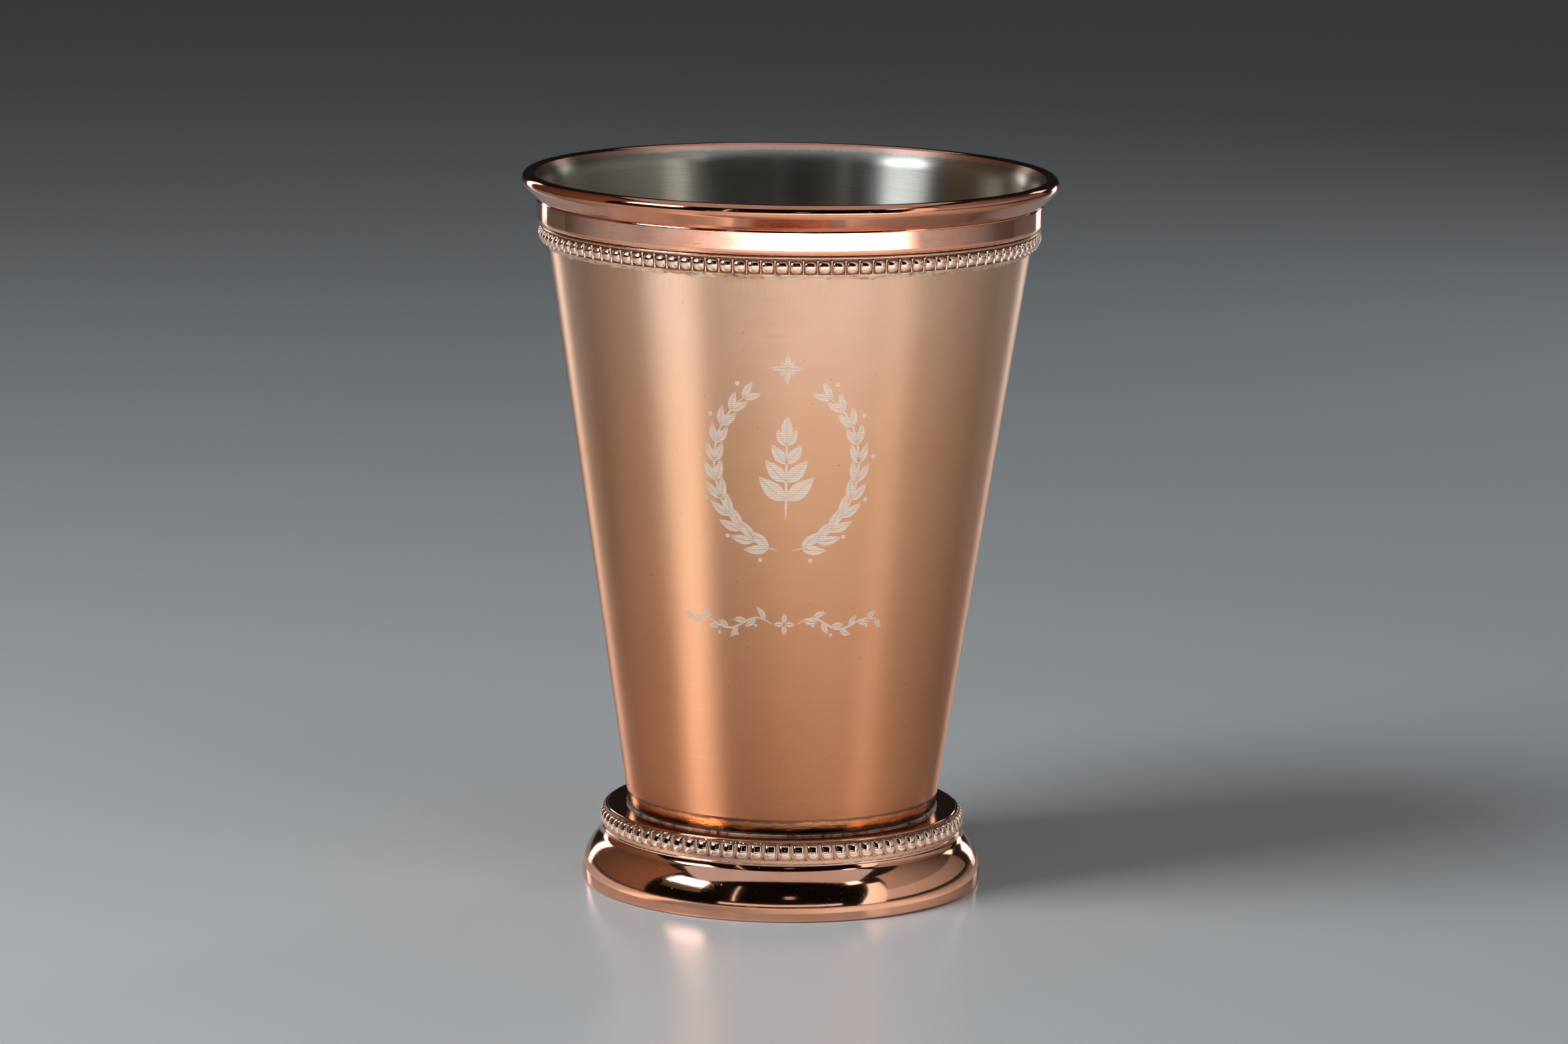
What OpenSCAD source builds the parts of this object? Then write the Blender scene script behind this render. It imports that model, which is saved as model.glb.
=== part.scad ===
// Beaded julep cup: a drawn steel tumbler plated in copper, with a moulded collar
// and a beaded wire under the lip, on a hollow stamped foot with a pearl strip.
// Origin at the centre of the resting plane, +Z up, millimetres.
// The decorated front of the cup faces -Y.

/* [Overall] */
// Height from the table to the top of the lip
cup_h = 112.6; // [100:0.1:130]
// Outer diameter of the rolled lip
lip_d = 84; // [78:0.5:92]

/* [Tumbler] */
// Thickness of the drawn sheet
wall_t = 0.8; // [0.5:0.05:1.2]
// Radius of the rolled lip
lip_r = 1.2; // [0.9:0.05:1.6]
// How far the lip stands out past the wall, measured at the neck
lip_overhang = 3.1; // [2.6:0.1:4]
// Depth from the top of the lip to the neck, where the wall stops flaring
lip_depth = 4; // [3.6:0.1:5]
// Lean of the flared lip away from the vertical, in degrees
flare_angle = 45; // [35:1:55]
// Radius of the bend inside the flare
flare_bend_r = 4; // [2:0.5:6]
// Outer diameter of the tumbler where it enters the foot
seat_d = 48.6; // [44:0.2:50]
// How far the tumbler reaches down through the top of the foot
spigot_h = 2; // [1.6:0.1:3]
// Outer radius of the bottom corner
corner_r = 1.4; // [1:0.1:2]

/* [Rim collar] */
// How far the polished collar stands out from the neck of the tumbler
collar_proud = 0.75; // [0.5:0.05:1.1]
// Height of the collar from its lower edge to its meeting with the flare
collar_h = 3.95; // [3:0.05:5]
// Radius of the turned-in lower edge of the collar
collar_edge_r = 0.9; // [0.4:0.05:1]
// Radius of the softened upper edge of the collar
collar_top_r = 0.35; // [0.2:0.05:0.5]

/* [Rim bead wire] */
// Height of the strip that carries the beads
bead_strip_h = 2.8; // [2.4:0.1:3.4]
// Thickness of that strip
bead_strip_t = 0.6; // [0.4:0.05:0.9]
// Radius of the fine ridge along the top of the strip
bead_ridge_r = 0.22; // [0.15:0.01:0.3]
// Distance from one rim bead to the next
bead_pitch = 2.165; // [2:0.005:2.6]
// Length of a rim bead along the wire
bead_w = 1.76; // [1.3:0.02:1.9]
// Height of a rim bead
bead_h = 2.3; // [1.8:0.05:2.6]
// Height of the flat ends of a rim bead
bead_end_h = 1.9; // [1.6:0.05:2.1]
// How deep in the strip the beads' axes lie, as a share of its thickness from its back
bead_seat_share = 0.17; // [0.15:0.01:0.5]
// Gap between the beads and the strip's lower edge
bead_lift = 0.08; // [0.05:0.01:0.3]

/* [Rim solder seam] */
// Height of the solder line under the bead wire
solder_h = 0.75; // [0.4:0.05:1.2]
// Thickness of the solder where it meets the bead wire
solder_t = 0.4; // [0.2:0.05:0.45]

/* [Foot shell] */
// Height of the top plate of the foot
foot_h = 12; // [10.5:0.1:15]
// Width of the top plate, from the tumbler to the drum that carries the pearls
plate_w = 3.4; // [3:0.1:4.5]
// How far the foot spreads out from the drum to its widest
foot_spread = 3.9; // [3.4:0.1:6]
// Thickness of the foot's metal
foot_wall_t = 1.2; // [0.8:0.1:1.5]
// Radius of the rounded edge between the top plate and the drum
drum_edge_r = 0.25; // [0.15:0.05:0.4]
// How far the ledge under the pearl strip stands out from the drum
ledge_w = 0.7; // [0.55:0.05:0.9]
// Radius of the hollow curve under the ledge
cavetto_r = 1.65; // [1:0.05:2.5]
// Height at which the bulging curve of the foot turns upright
toe_h = 1.3; // [0.8:0.1:2]
// Radius of the small round along the resting edge
toe_r = 0.4; // [0.2:0.05:0.6]

/* [Foot pearl strip] */
// Height of the pearl strip
pearl_strip_h = 3.65; // [3.4:0.05:4]
// Thickness of the strip between the pearls
pearl_strip_t = 0.5; // [0.3:0.02:0.6]
// Radius of the fine ridge along the lower edge of the strip
pearl_ridge_r = 0.2; // [0.12:0.01:0.25]
// Distance from one foot pearl to the next
pearl_pitch = 2.235; // [2.1:0.005:2.8]
// Width of a foot pearl
pearl_w = 1.72; // [1.3:0.02:1.8]
// Height of a foot pearl
pearl_h = 2.4; // [1.8:0.05:2.6]
// Width of the flat top of a foot pearl
pearl_top_w = 0.9; // [0.7:0.05:1.3]
// Distance from the top of the strip down to the pearls
pearl_drop = 0.3; // [0.3:0.05:0.4]

/* [Braze] */
// Size of the brazed fillet between the tumbler and the foot
braze_leg = 0.5; // [0.3:0.05:0.9]
// Film of braze or solder between pieces that are joined
film = 0.03; // [0.02:0.01:0.1]

/* [Hidden] */
$fn = 96;

// One overrun serves every cut.
over = wall_t;

// Shares of the pieces named in each.
ledge_lift_share = 0.2;  // of the hollow curve's radius, from its centre up to the ledge
solder_toe_share = 0.33; // of the solder's height and thickness, where it thins out
braze_hollow_share = 0.8; // of the fillet's leg, as the radius of its hollow face

// The straight wall of the tumbler, as a cone between the foot and the neck.
neck_z = cup_h - lip_depth;
neck_r = lip_d / 2 - lip_overhang;
seat_r = seat_d / 2;
base_z = foot_h - spigot_h;
cone_slope = (neck_r - seat_r) / (neck_z - foot_h);
cone_angle = atan(cone_slope);
wall_across = wall_t / cos(cone_angle);

// The lip is one circle, and two lines touch it on their way down the flare.
lip_x = lip_d / 2 - lip_r;
lip_z = cup_h - lip_r;
flare_run = sin(flare_angle) - cone_slope * cos(flare_angle);

// Heights of the mouldings under the lip, from the flare downwards.
collar_r = neck_r + collar_proud;
collar_top_z = flare_z(collar_r);
collar_z = collar_top_z - collar_h;
bead_top_z = collar_z - film;
bead_bottom_z = bead_top_z - bead_strip_h;
solder_top_z = bead_bottom_z - film;
bead_mid_z = bead_bottom_z + bead_lift + bead_h / 2;
bead_ring_r = wall_r(bead_mid_z) + film + bead_strip_t * bead_seat_share;
bead_n = round(2 * PI * (bead_ring_r + bead_h / 2) / bead_pitch);

// Heights and curves of the foot.
drum_r = seat_r + plate_w;
foot_r = drum_r + foot_spread;
ledge_r = drum_r + ledge_w;
strip_top_z = foot_h - drum_edge_r;
ledge_z = strip_top_z - pearl_strip_h;
cavetto_z = ledge_z + cavetto_r * ledge_lift_share;
cavetto_x = ledge_r + cavetto_r;
cavetto_in = cavetto_x - foot_r;
cavetto_up = cavetto_z - toe_h;
ovolo_r = (pow(cavetto_in, 2) + pow(cavetto_up, 2) - pow(cavetto_r, 2)) / (2 * (cavetto_r - cavetto_in));
ovolo_x = foot_r - ovolo_r;
join_share = ovolo_r / (ovolo_r + cavetto_r);
join_x = ovolo_x + (cavetto_x - ovolo_x) * join_share;
join_z = toe_h + (cavetto_z - toe_h) * join_share;

// The pearls hang near the top of their strip.
pearl_mid_z = strip_top_z - pearl_drop - pearl_h / 2;
pearl_face_r = drum_r + film + pearl_strip_t;
pearl_ring_r = pearl_face_r - pearl_strip_t / 2;
pearl_n = round(2 * PI * (pearl_ring_r + pearl_w / 2) / pearl_pitch);

copper = [0.80, 0.49, 0.36];
pale_copper = [0.86, 0.64, 0.54];
steel = [0.72, 0.72, 0.70];
solder_grey = [0.70, 0.68, 0.60];
braze_brown = [0.42, 0.22, 0.13];

// Outer radius of the tumbler's straight wall at a height.
function wall_r(z) = seat_r + cone_slope * (z - foot_h);

// Height of the outer face of the flare at a radius.
function flare_z(r) = lip_z - lip_r * sin(flare_angle)
    - (lip_x + lip_r * cos(flare_angle) - r) / tan(flare_angle);

// Where a flare line on one side of the lip meets the wall, for a wall that
// lies this far inside the outer one. side is 1 below the lip and -1 above it.
function flare_length(side, inset) = (lip_x + side * lip_r * cos(flare_angle) - neck_r + inset
    - cone_slope * (lip_z - side * lip_r * sin(flare_angle) - neck_z)) / flare_run;
function lip_touch(side) = [
    lip_x + side * lip_r * cos(flare_angle),
    lip_z - side * lip_r * sin(flare_angle)
];
function flare_foot(side, inset) = lip_touch(side)
    - flare_length(side, inset) * [sin(flare_angle), cos(flare_angle)];

// A circle that rounds the corner between a flat floor and the wall, for a
// wall that lies this far inside the outer one.
function corner_centre(floor_z, radius, inset) = [
    wall_r(floor_z + radius) - inset - radius / cos(cone_angle),
    floor_z + radius
];
function corner_touch(centre, radius) = centre + radius * [cos(cone_angle), -sin(cone_angle)];

// The arc that softens the bend inside the flare touches the wall and the flare.
bend_turn = (flare_angle - cone_angle) / 2;
bend_leg = flare_bend_r * tan(bend_turn);
bend_corner = flare_foot(-1, wall_across);
bend_low = bend_corner - bend_leg * [sin(cone_angle), cos(cone_angle)];
bend_high = bend_corner + bend_leg * [sin(flare_angle), cos(flare_angle)];
bend_centre = bend_low + flare_bend_r * [cos(cone_angle), -sin(cone_angle)];

// Sections, drawn in the half plane of positive X with Y as height.

// Everything inside the outer face of the wall and the flare, grown by a gap.
module wall_core(gap, low_z) {
    polygon([
        [0, low_z],
        [wall_r(low_z) + gap, low_z],
        flare_foot(1, 0) + [gap, 0],
        lip_touch(1) + [gap, 0],
        lip_touch(-1) + [gap, 0],
        [0, lip_z + lip_r]
    ]);
}

module tumbler_section() {
    outer_corner = corner_centre(base_z, corner_r, 0);
    inner_r = corner_r - wall_t / 2;
    inner_corner = corner_centre(base_z + wall_t, inner_r, wall_across);
    difference() {
        union() {
            translate(outer_corner) circle(corner_r);
            translate([lip_x, lip_z]) circle(lip_r);
            polygon([
                [0, base_z],
                [outer_corner[0], base_z],
                corner_touch(outer_corner, corner_r),
                flare_foot(1, 0),
                lip_touch(1),
                lip_touch(-1),
                bend_high,
                bend_low,
                [0, bend_low[1]]
            ]);
            intersection() {
                translate(bend_centre) circle(flare_bend_r);
                polygon([bend_low, bend_corner, bend_high]);
            }
        }
        translate(inner_corner) circle(inner_r);
        polygon([
            [0, base_z + wall_t],
            [inner_corner[0], base_z + wall_t],
            corner_touch(inner_corner, inner_r),
            bend_low,
            [0, bend_low[1]]
        ]);
    }
}

module collar_section() {
    difference() {
        union() {
            translate([collar_r - collar_edge_r, collar_z + collar_edge_r]) circle(collar_edge_r);
            translate([neck_r - over, collar_z])
                square([collar_r - collar_edge_r - neck_r + over, collar_h]);
            translate([neck_r - over, collar_z + collar_edge_r])
                square([collar_r - neck_r + over, collar_h - collar_edge_r - collar_top_r]);
            translate([neck_r - over, collar_top_z - collar_top_r])
                square([collar_r - collar_top_r - neck_r + over, collar_top_r]);
            translate([collar_r - collar_top_r, collar_top_z - collar_top_r]) circle(collar_top_r);
        }
        wall_core(film, foot_h);
    }
}

module bead_strip_section() {
    low_r = wall_r(bead_bottom_z) + film;
    high_r = wall_r(bead_top_z) + film;
    polygon([
        [low_r, bead_bottom_z],
        [low_r + bead_strip_t, bead_bottom_z],
        [high_r + bead_strip_t, bead_top_z],
        [high_r, bead_top_z]
    ]);
    translate([high_r + bead_strip_t, bead_top_z - bead_ridge_r]) circle(bead_ridge_r);
}

module solder_section() {
    high_r = wall_r(solder_top_z) + film;
    low_z = solder_top_z - solder_h;
    low_r = wall_r(low_z) + film;
    polygon([
        [low_r, low_z],
        [low_r + solder_t * solder_toe_share, low_z + solder_h * solder_toe_share],
        [high_r + solder_t, solder_top_z],
        [high_r, solder_top_z]
    ]);
}

// The outer form of the foot as if it were solid.
module foot_outer_section() {
    translate([drum_r - drum_edge_r, foot_h - drum_edge_r]) circle(drum_edge_r);
    square([drum_r - drum_edge_r, foot_h]);
    square([drum_r, foot_h - drum_edge_r]);
    difference() {
        translate([0, join_z]) square([join_x, ledge_z - join_z]);
        translate([cavetto_x, cavetto_z]) circle(cavetto_r);
    }
    intersection() {
        translate([ovolo_x, toe_h]) circle(ovolo_r);
        translate([0, toe_h]) square([foot_r, join_z - toe_h]);
    }
    translate([0, toe_r]) square([foot_r, toe_h - toe_r]);
    square([foot_r - toe_r, toe_h]);
    translate([foot_r - toe_r, toe_r]) circle(toe_r);
}

// The hollow under the foot, one wall inside its outer form.
module foot_inner_section() {
    translate([0, -over]) square([foot_r - foot_wall_t, toe_h + over]);
    intersection() {
        translate([ovolo_x, toe_h]) circle(ovolo_r - foot_wall_t);
        translate([0, toe_h - over]) square([foot_r, cavetto_z]);
    }
    square([drum_r - foot_wall_t, foot_h - foot_wall_t]);
}

module foot_section() {
    difference() {
        foot_outer_section();
        foot_inner_section();
        wall_core(film, base_z - over);
    }
}

module pearl_strip_section() {
    low_z = ledge_z + film;
    bevel = pearl_strip_t / 2;
    polygon([
        [drum_r + film, low_z],
        [pearl_face_r, low_z],
        [pearl_face_r, strip_top_z - bevel],
        [pearl_face_r - bevel, strip_top_z],
        [drum_r + film, strip_top_z]
    ]);
    translate([pearl_face_r, low_z + pearl_ridge_r]) circle(pearl_ridge_r);
}

module braze_section() {
    foot_line = foot_h + film;
    wall_line = wall_r(foot_line) + film;
    difference() {
        polygon([
            [wall_line, foot_line],
            [wall_line + braze_leg, foot_line],
            [wall_r(foot_line + braze_leg) + film, foot_line + braze_leg]
        ]);
        translate([wall_line + braze_leg, foot_line + braze_leg]) circle(braze_leg * braze_hollow_share);
    }
}

// The outer half of a barrel whose side is one arc: the widest at the middle and
// flat at both ends. Its cut face lies inside the strip that carries it.
module half_barrel(w, h, end_w) {
    bulge = (w - end_w) / 2;
    side_r = (pow(h / 2, 2) + pow(bulge, 2)) / (2 * bulge);
    rotate([0, 0, -90])
        rotate_extrude(angle = 180)
            intersection() {
                translate([w / 2 - side_r, 0]) circle(side_r);
                translate([0, -h / 2]) square([w / 2, h]);
            }
}

// The outer half of a pearl that is a ball below and narrows on one arc to its flat top.
module half_pearl(w, h, top_w) {
    ball_r = w / 2;
    rise = h - ball_r;
    bulge = (w - top_w) / 2;
    side_r = (pow(rise, 2) + pow(bulge, 2)) / (2 * bulge);
    translate([0, 0, ball_r - h / 2])
        rotate([0, 0, -90])
            rotate_extrude(angle = 180) {
                intersection() {
                    circle(ball_r);
                    translate([0, -ball_r]) square(ball_r);
                }
                intersection() {
                    translate([ball_r - side_r, 0]) circle(side_r);
                    square([ball_r, rise]);
                }
            }
}

module ring_of(count, radius, mid_z, lean) {
    for (i = [0 : count - 1])
        rotate([0, 0, 360 * i / count])
            translate([radius, 0, mid_z])
                rotate([0, lean, 0])
                    children();
}

// Sub-parts

module tumbler_body() {
    color(steel) rotate_extrude() tumbler_section();
}

module rim_collar() {
    color(copper) rotate_extrude() collar_section();
}

module rim_bead_wire() {
    color(pale_copper)
        union() {
            rotate_extrude() bead_strip_section();
            ring_of(bead_n, bead_ring_r, bead_mid_z, cone_angle)
                rotate([90, 0, 0]) half_barrel(bead_h, bead_w, bead_end_h);
        }
}

module rim_solder_seam() {
    color(solder_grey) rotate_extrude() solder_section();
}

module foot_shell() {
    color(copper) rotate_extrude() foot_section();
}

module foot_pearl_strip() {
    color(pale_copper)
        union() {
            rotate_extrude() pearl_strip_section();
            ring_of(pearl_n, pearl_ring_r, pearl_mid_z, 0)
                half_pearl(pearl_w, pearl_h, pearl_top_w);
        }
}

module foot_braze_fillet() {
    color(braze_brown) rotate_extrude() braze_section();
}

tumbler_body();
rim_collar();
rim_bead_wire();
rim_solder_seam();
foot_shell();
foot_pearl_strip();
foot_braze_fillet();
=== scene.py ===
"""Looks of the beaded julep cup: turned metal, two beaded mouldings, plating and engraving.

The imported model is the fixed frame. Each piece here stands for one of its nodes and keeps that
node's size and place, with a thin film between pieces that touch. Lengths are in millimetres
until a mesh is made, and then in metres. Angles round the cup start at the decorated front, -Y,
and turn towards +X.
"""
import logging
import math
from dataclasses import dataclass, field
from enum import Enum
from functools import cached_property
from typing import Callable, Sequence

import bpy
from mathutils import Matrix, Vector, noise


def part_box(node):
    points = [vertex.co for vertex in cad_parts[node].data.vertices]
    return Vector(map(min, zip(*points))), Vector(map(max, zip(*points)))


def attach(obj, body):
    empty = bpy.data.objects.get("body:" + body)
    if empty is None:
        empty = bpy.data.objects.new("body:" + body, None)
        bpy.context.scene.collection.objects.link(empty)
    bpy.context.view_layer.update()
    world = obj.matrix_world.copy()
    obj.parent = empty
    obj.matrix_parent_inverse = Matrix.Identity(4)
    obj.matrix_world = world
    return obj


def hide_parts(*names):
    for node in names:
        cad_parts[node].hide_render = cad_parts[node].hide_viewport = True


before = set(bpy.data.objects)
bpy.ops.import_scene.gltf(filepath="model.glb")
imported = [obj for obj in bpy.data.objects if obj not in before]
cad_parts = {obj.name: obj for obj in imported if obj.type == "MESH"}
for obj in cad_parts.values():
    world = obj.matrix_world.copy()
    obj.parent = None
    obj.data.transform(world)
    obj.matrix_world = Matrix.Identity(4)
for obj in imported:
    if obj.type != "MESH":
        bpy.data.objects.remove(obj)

LOG = logging.getLogger("julep_cup")
MM = 0.001
FILM = 0.03
UPRIGHT = math.pi / 2
QUARTER_TURN = 0.25
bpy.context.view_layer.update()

Colour = tuple[float, float, float]
Point = tuple[float, float, float]
Pair = tuple[float, float]
Shift = Callable[[float, float, float], Pair]


class Crease(Enum):
    """The turn, in radians, past which an edge of a piece stays sharp."""

    TURNED = math.radians(28)
    BEADED = math.radians(50)


def between(ends: Pair, share: float) -> float:
    """Gives the value at a share of the way from the first end to the second."""
    return ends[0] + (ends[1] - ends[0]) * share


def flat(radius: float, height: float) -> Vector:
    """Gives a point of a section."""
    return Vector((radius, height))


def ray(turn: float) -> Vector:
    """Gives the direction at an angle, in radians, from outwards or the right towards the top."""
    return flat(math.cos(turn), math.sin(turn))


def around(angle: float, radius: float, height: float) -> Point:
    """Gives the point at an angle from the front, in radians, a radius and a height."""
    return radius * math.sin(angle), -radius * math.cos(angle), height


def node_box(node: str) -> tuple[Vector, Vector]:
    """Gives a CAD node's lowest and highest corners in millimetres."""
    low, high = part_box(node)
    return low / MM, high / MM


@dataclass
class Section:
    """An outline beside the axis, walked with the metal on its left.

    Every stretch carries a material number. Straight stretches get guard points near their ends,
    so that the rounding of a neighbour doesn't bend their shading.
    """

    points: list[Vector] = field(default_factory=list)
    slots: list[int] = field(default_factory=list)
    guard: float = 0.1

    def put(self, point: Vector, slot: int) -> None:
        """Adds one point, unless the outline already stands on it.

        Args:
            point: the point.
            slot: the material number of the stretch that ends there.
        """
        if not self.points or (point - self.points[-1]).length > 1e-6:
            self.points.append(point)
            self.slots.append(slot)

    def line(self, end: Vector, slot: int = 0, steps: int = 1) -> "Section":
        """Adds a straight stretch.

        Args:
            end: the point that it runs to.
            slot: its material number.
            steps: the number of parts between its guards.

        Returns:
            The section itself.
        """
        if self.points:
            start = self.points[-1].copy()
            length = (end - start).length
            if length > 4 * self.guard:
                first = self.guard / length
                for i in range(steps + 1):
                    self.put(start.lerp(end, first + (1 - 2 * first) * i / steps), slot)
        self.put(end, slot)
        return self

    def arc(self, centre: Vector, radius: float, start: float, end: float,
            slot: int = 0, steps: int = 12) -> "Section":
        """Adds an arc.

        Args:
            centre: its centre.
            radius: its radius.
            start: its first angle in radians, from outwards towards the top.
            end: its last angle.
            slot: its material number.
            steps: the number of parts.

        Returns:
            The section itself.
        """
        for i in range(steps + 1):
            angle = start + (end - start) * i / steps
            self.put(centre + radius * ray(angle), slot)
        return self


@dataclass
class MeshData:
    """Vertices, faces and material numbers of a mesh while it is put together."""

    points: list[Point] = field(default_factory=list)
    faces: list[tuple[int, ...]] = field(default_factory=list)
    slots: list[int] = field(default_factory=list)

    def face(self, corners: Sequence[int], slot: int = 0) -> None:
        """Adds a face, unless fewer than three of its corners differ.

        Args:
            corners: its vertex numbers.
            slot: its material number.
        """
        different = tuple(dict.fromkeys(corners))
        if len(different) > 2:
            self.faces.append(different)
            self.slots.append(slot)

    def loft(self, rings: Sequence[Sequence[Point]]) -> None:
        """Adds a closed solid through rings of equally many points, with a flat end at both.

        Args:
            rings: the rings, in millimetres, which turn to the right seen from the last one.
        """
        start = len(self.points)
        columns = len(rings[0])
        last = start + (len(rings) - 1) * columns
        self.points.extend(point for ring in rings for point in ring)
        for low in range(start, last, columns):
            high = low + columns
            for k in range(columns):
                n = (k + 1) % columns
                self.face((low + k, low + n, high + n, high + k))
        self.face(range(start, start + columns)[::-1])
        self.face(range(last, last + columns))

    def turn(self, section: Section, sides: int, shift: Shift | None = None) -> None:
        """Adds a section turned about the axis.

        Args:
            section: the closed outline.
            sides: the number of parts of a full turn.
            shift: moves a point, given its angle, radius and height, to another radius and height.
        """
        rings: list[list[int]] = []
        for point in section.points:
            if point.x < 1e-6:
                rings.append([len(self.points)] * sides)
                self.points.append((0.0, 0.0, point.y))
                continue
            rings.append(list(range(len(self.points), len(self.points) + sides)))
            for k in range(sides):
                angle = 2 * math.pi * k / sides
                radius, height = shift(angle, point.x, point.y) if shift else (point.x, point.y)
                self.points.append(around(angle, radius, height))
        for i, ring in enumerate(rings):
            after = rings[(i + 1) % len(rings)]
            slot = section.slots[(i + 1) % len(rings)]
            for k in range(sides):
                n = (k + 1) % sides
                self.face((ring[k], ring[n], after[n], after[k]), slot)

    def build(self, name: str, materials: Sequence[bpy.types.Material], crease: Crease) -> bpy.types.Object:
        """Makes the Blender object, in metres.

        Args:
            name: the object's name.
            materials: the materials that the material numbers count through.
            crease: which edges stay sharp.

        Returns:
            The new object, linked to the scene.
        """
        mesh = bpy.data.meshes.new(name)
        mesh.from_pydata([(x * MM, y * MM, z * MM) for x, y, z in self.points], [], self.faces)
        for material in materials:
            mesh.materials.append(material)
        mesh.polygons.foreach_set("material_index", self.slots)
        mesh.polygons.foreach_set("use_smooth", [True] * len(mesh.polygons))
        mesh.validate()
        mesh.set_sharp_from_angle(angle=crease.value)
        mesh.update()
        piece = bpy.data.objects.new(name, mesh)
        bpy.context.scene.collection.objects.link(piece)
        return piece


def hand_in(piece: bpy.types.Object, slot: str, *nodes: str) -> bpy.types.Object:
    """Fixes a piece to the cup, says what it stands for and reports it.

    Args:
        piece: the piece.
        slot: the record's material slot of its finish; not used.
        nodes: the CAD nodes that it stands for.

    Returns:
        The piece.
    """
    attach(piece, "root")
    if nodes:
        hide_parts(*nodes)
    LOG.info("%s: %d faces, for %s", piece.name, len(piece.data.polygons), ", ".join(nodes) or "no node")
    return piece


class Wire:
    """A shader socket that takes part in Python sums. Each operator adds its Math node."""

    def __init__(self, bench: "Bench", socket: bpy.types.NodeSocket) -> None:
        """Keeps the socket and the bench that further nodes are made on."""
        self.bench = bench
        self.socket = socket

    def math(self, operation: str, *values: "Wire | float", clamp: bool = False) -> "Wire":
        """Adds a Math node.

        Args:
            operation: its operation.
            values: its inputs in order.
            clamp: whether its result is kept between 0 and 1.

        Returns:
            Its result.
        """
        settings = {"operation": operation, "use_clamp": clamp}
        return self.bench.node("ShaderNodeMath", settings, dict(enumerate(values)))["Value"]

    def __add__(self, other: "Wire | float") -> "Wire":
        """Adds a wire or a number."""
        return self.math("ADD", self, other)

    def __radd__(self, other: float) -> "Wire":
        """Adds this wire to a number."""
        return self.math("ADD", other, self)

    def __sub__(self, other: "Wire | float") -> "Wire":
        """Takes a wire or a number away."""
        return self.math("SUBTRACT", self, other)

    def __rsub__(self, other: float) -> "Wire":
        """Takes this wire away from a number."""
        return self.math("SUBTRACT", other, self)

    def __mul__(self, other: "Wire | float") -> "Wire":
        """Multiplies by a wire or a number."""
        return self.math("MULTIPLY", self, other)

    def __rmul__(self, other: float) -> "Wire":
        """Multiplies a number by this wire."""
        return self.math("MULTIPLY", other, self)

    def __truediv__(self, other: "Wire | float") -> "Wire":
        """Divides by a wire or a number."""
        return self.math("DIVIDE", self, other)

    def __pow__(self, other: float) -> "Wire":
        """Raises to a power."""
        return self.math("POWER", self, other)

    def kept(self) -> "Wire":
        """Keeps the value between 0 and 1."""
        return self.math("ADD", self, 0.0, clamp=True)

    def step(self, low: float, high: float) -> "Wire":
        """Rises smoothly from 0 at low to 1 at high, where low may be the larger.

        Args:
            low: the value that gives 0.
            high: the value that gives 1.

        Returns:
            The smooth step.
        """
        turned = low > high
        ends = {"From Min": min(low, high), "From Max": max(low, high),
                "To Min": float(turned), "To Max": float(not turned)}
        settings = {"interpolation_type": "SMOOTHSTEP"}
        return self.bench.node("ShaderNodeMapRange", settings, {"Value": self, **ends})["Result"]


class Made:
    """A node on the bench, read by the names of its outputs."""

    def __init__(self, bench: "Bench", node: bpy.types.Node) -> None:
        """Keeps the node."""
        self.bench = bench
        self.node = node

    def __getitem__(self, name: str) -> Wire:
        """Gives one output that is in use."""
        return Wire(self.bench, next(s for s in self.node.outputs if s.name == name and s.enabled))


@dataclass(frozen=True)
class Grain:
    """The measures of a noise: its cells in a millimetre level with the table and along the axis.

    Its detail is the number of finer octaves, and its rough the share of each.
    """

    level: float
    up: float
    detail: float = 3.0
    rough: float = 0.6


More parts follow.
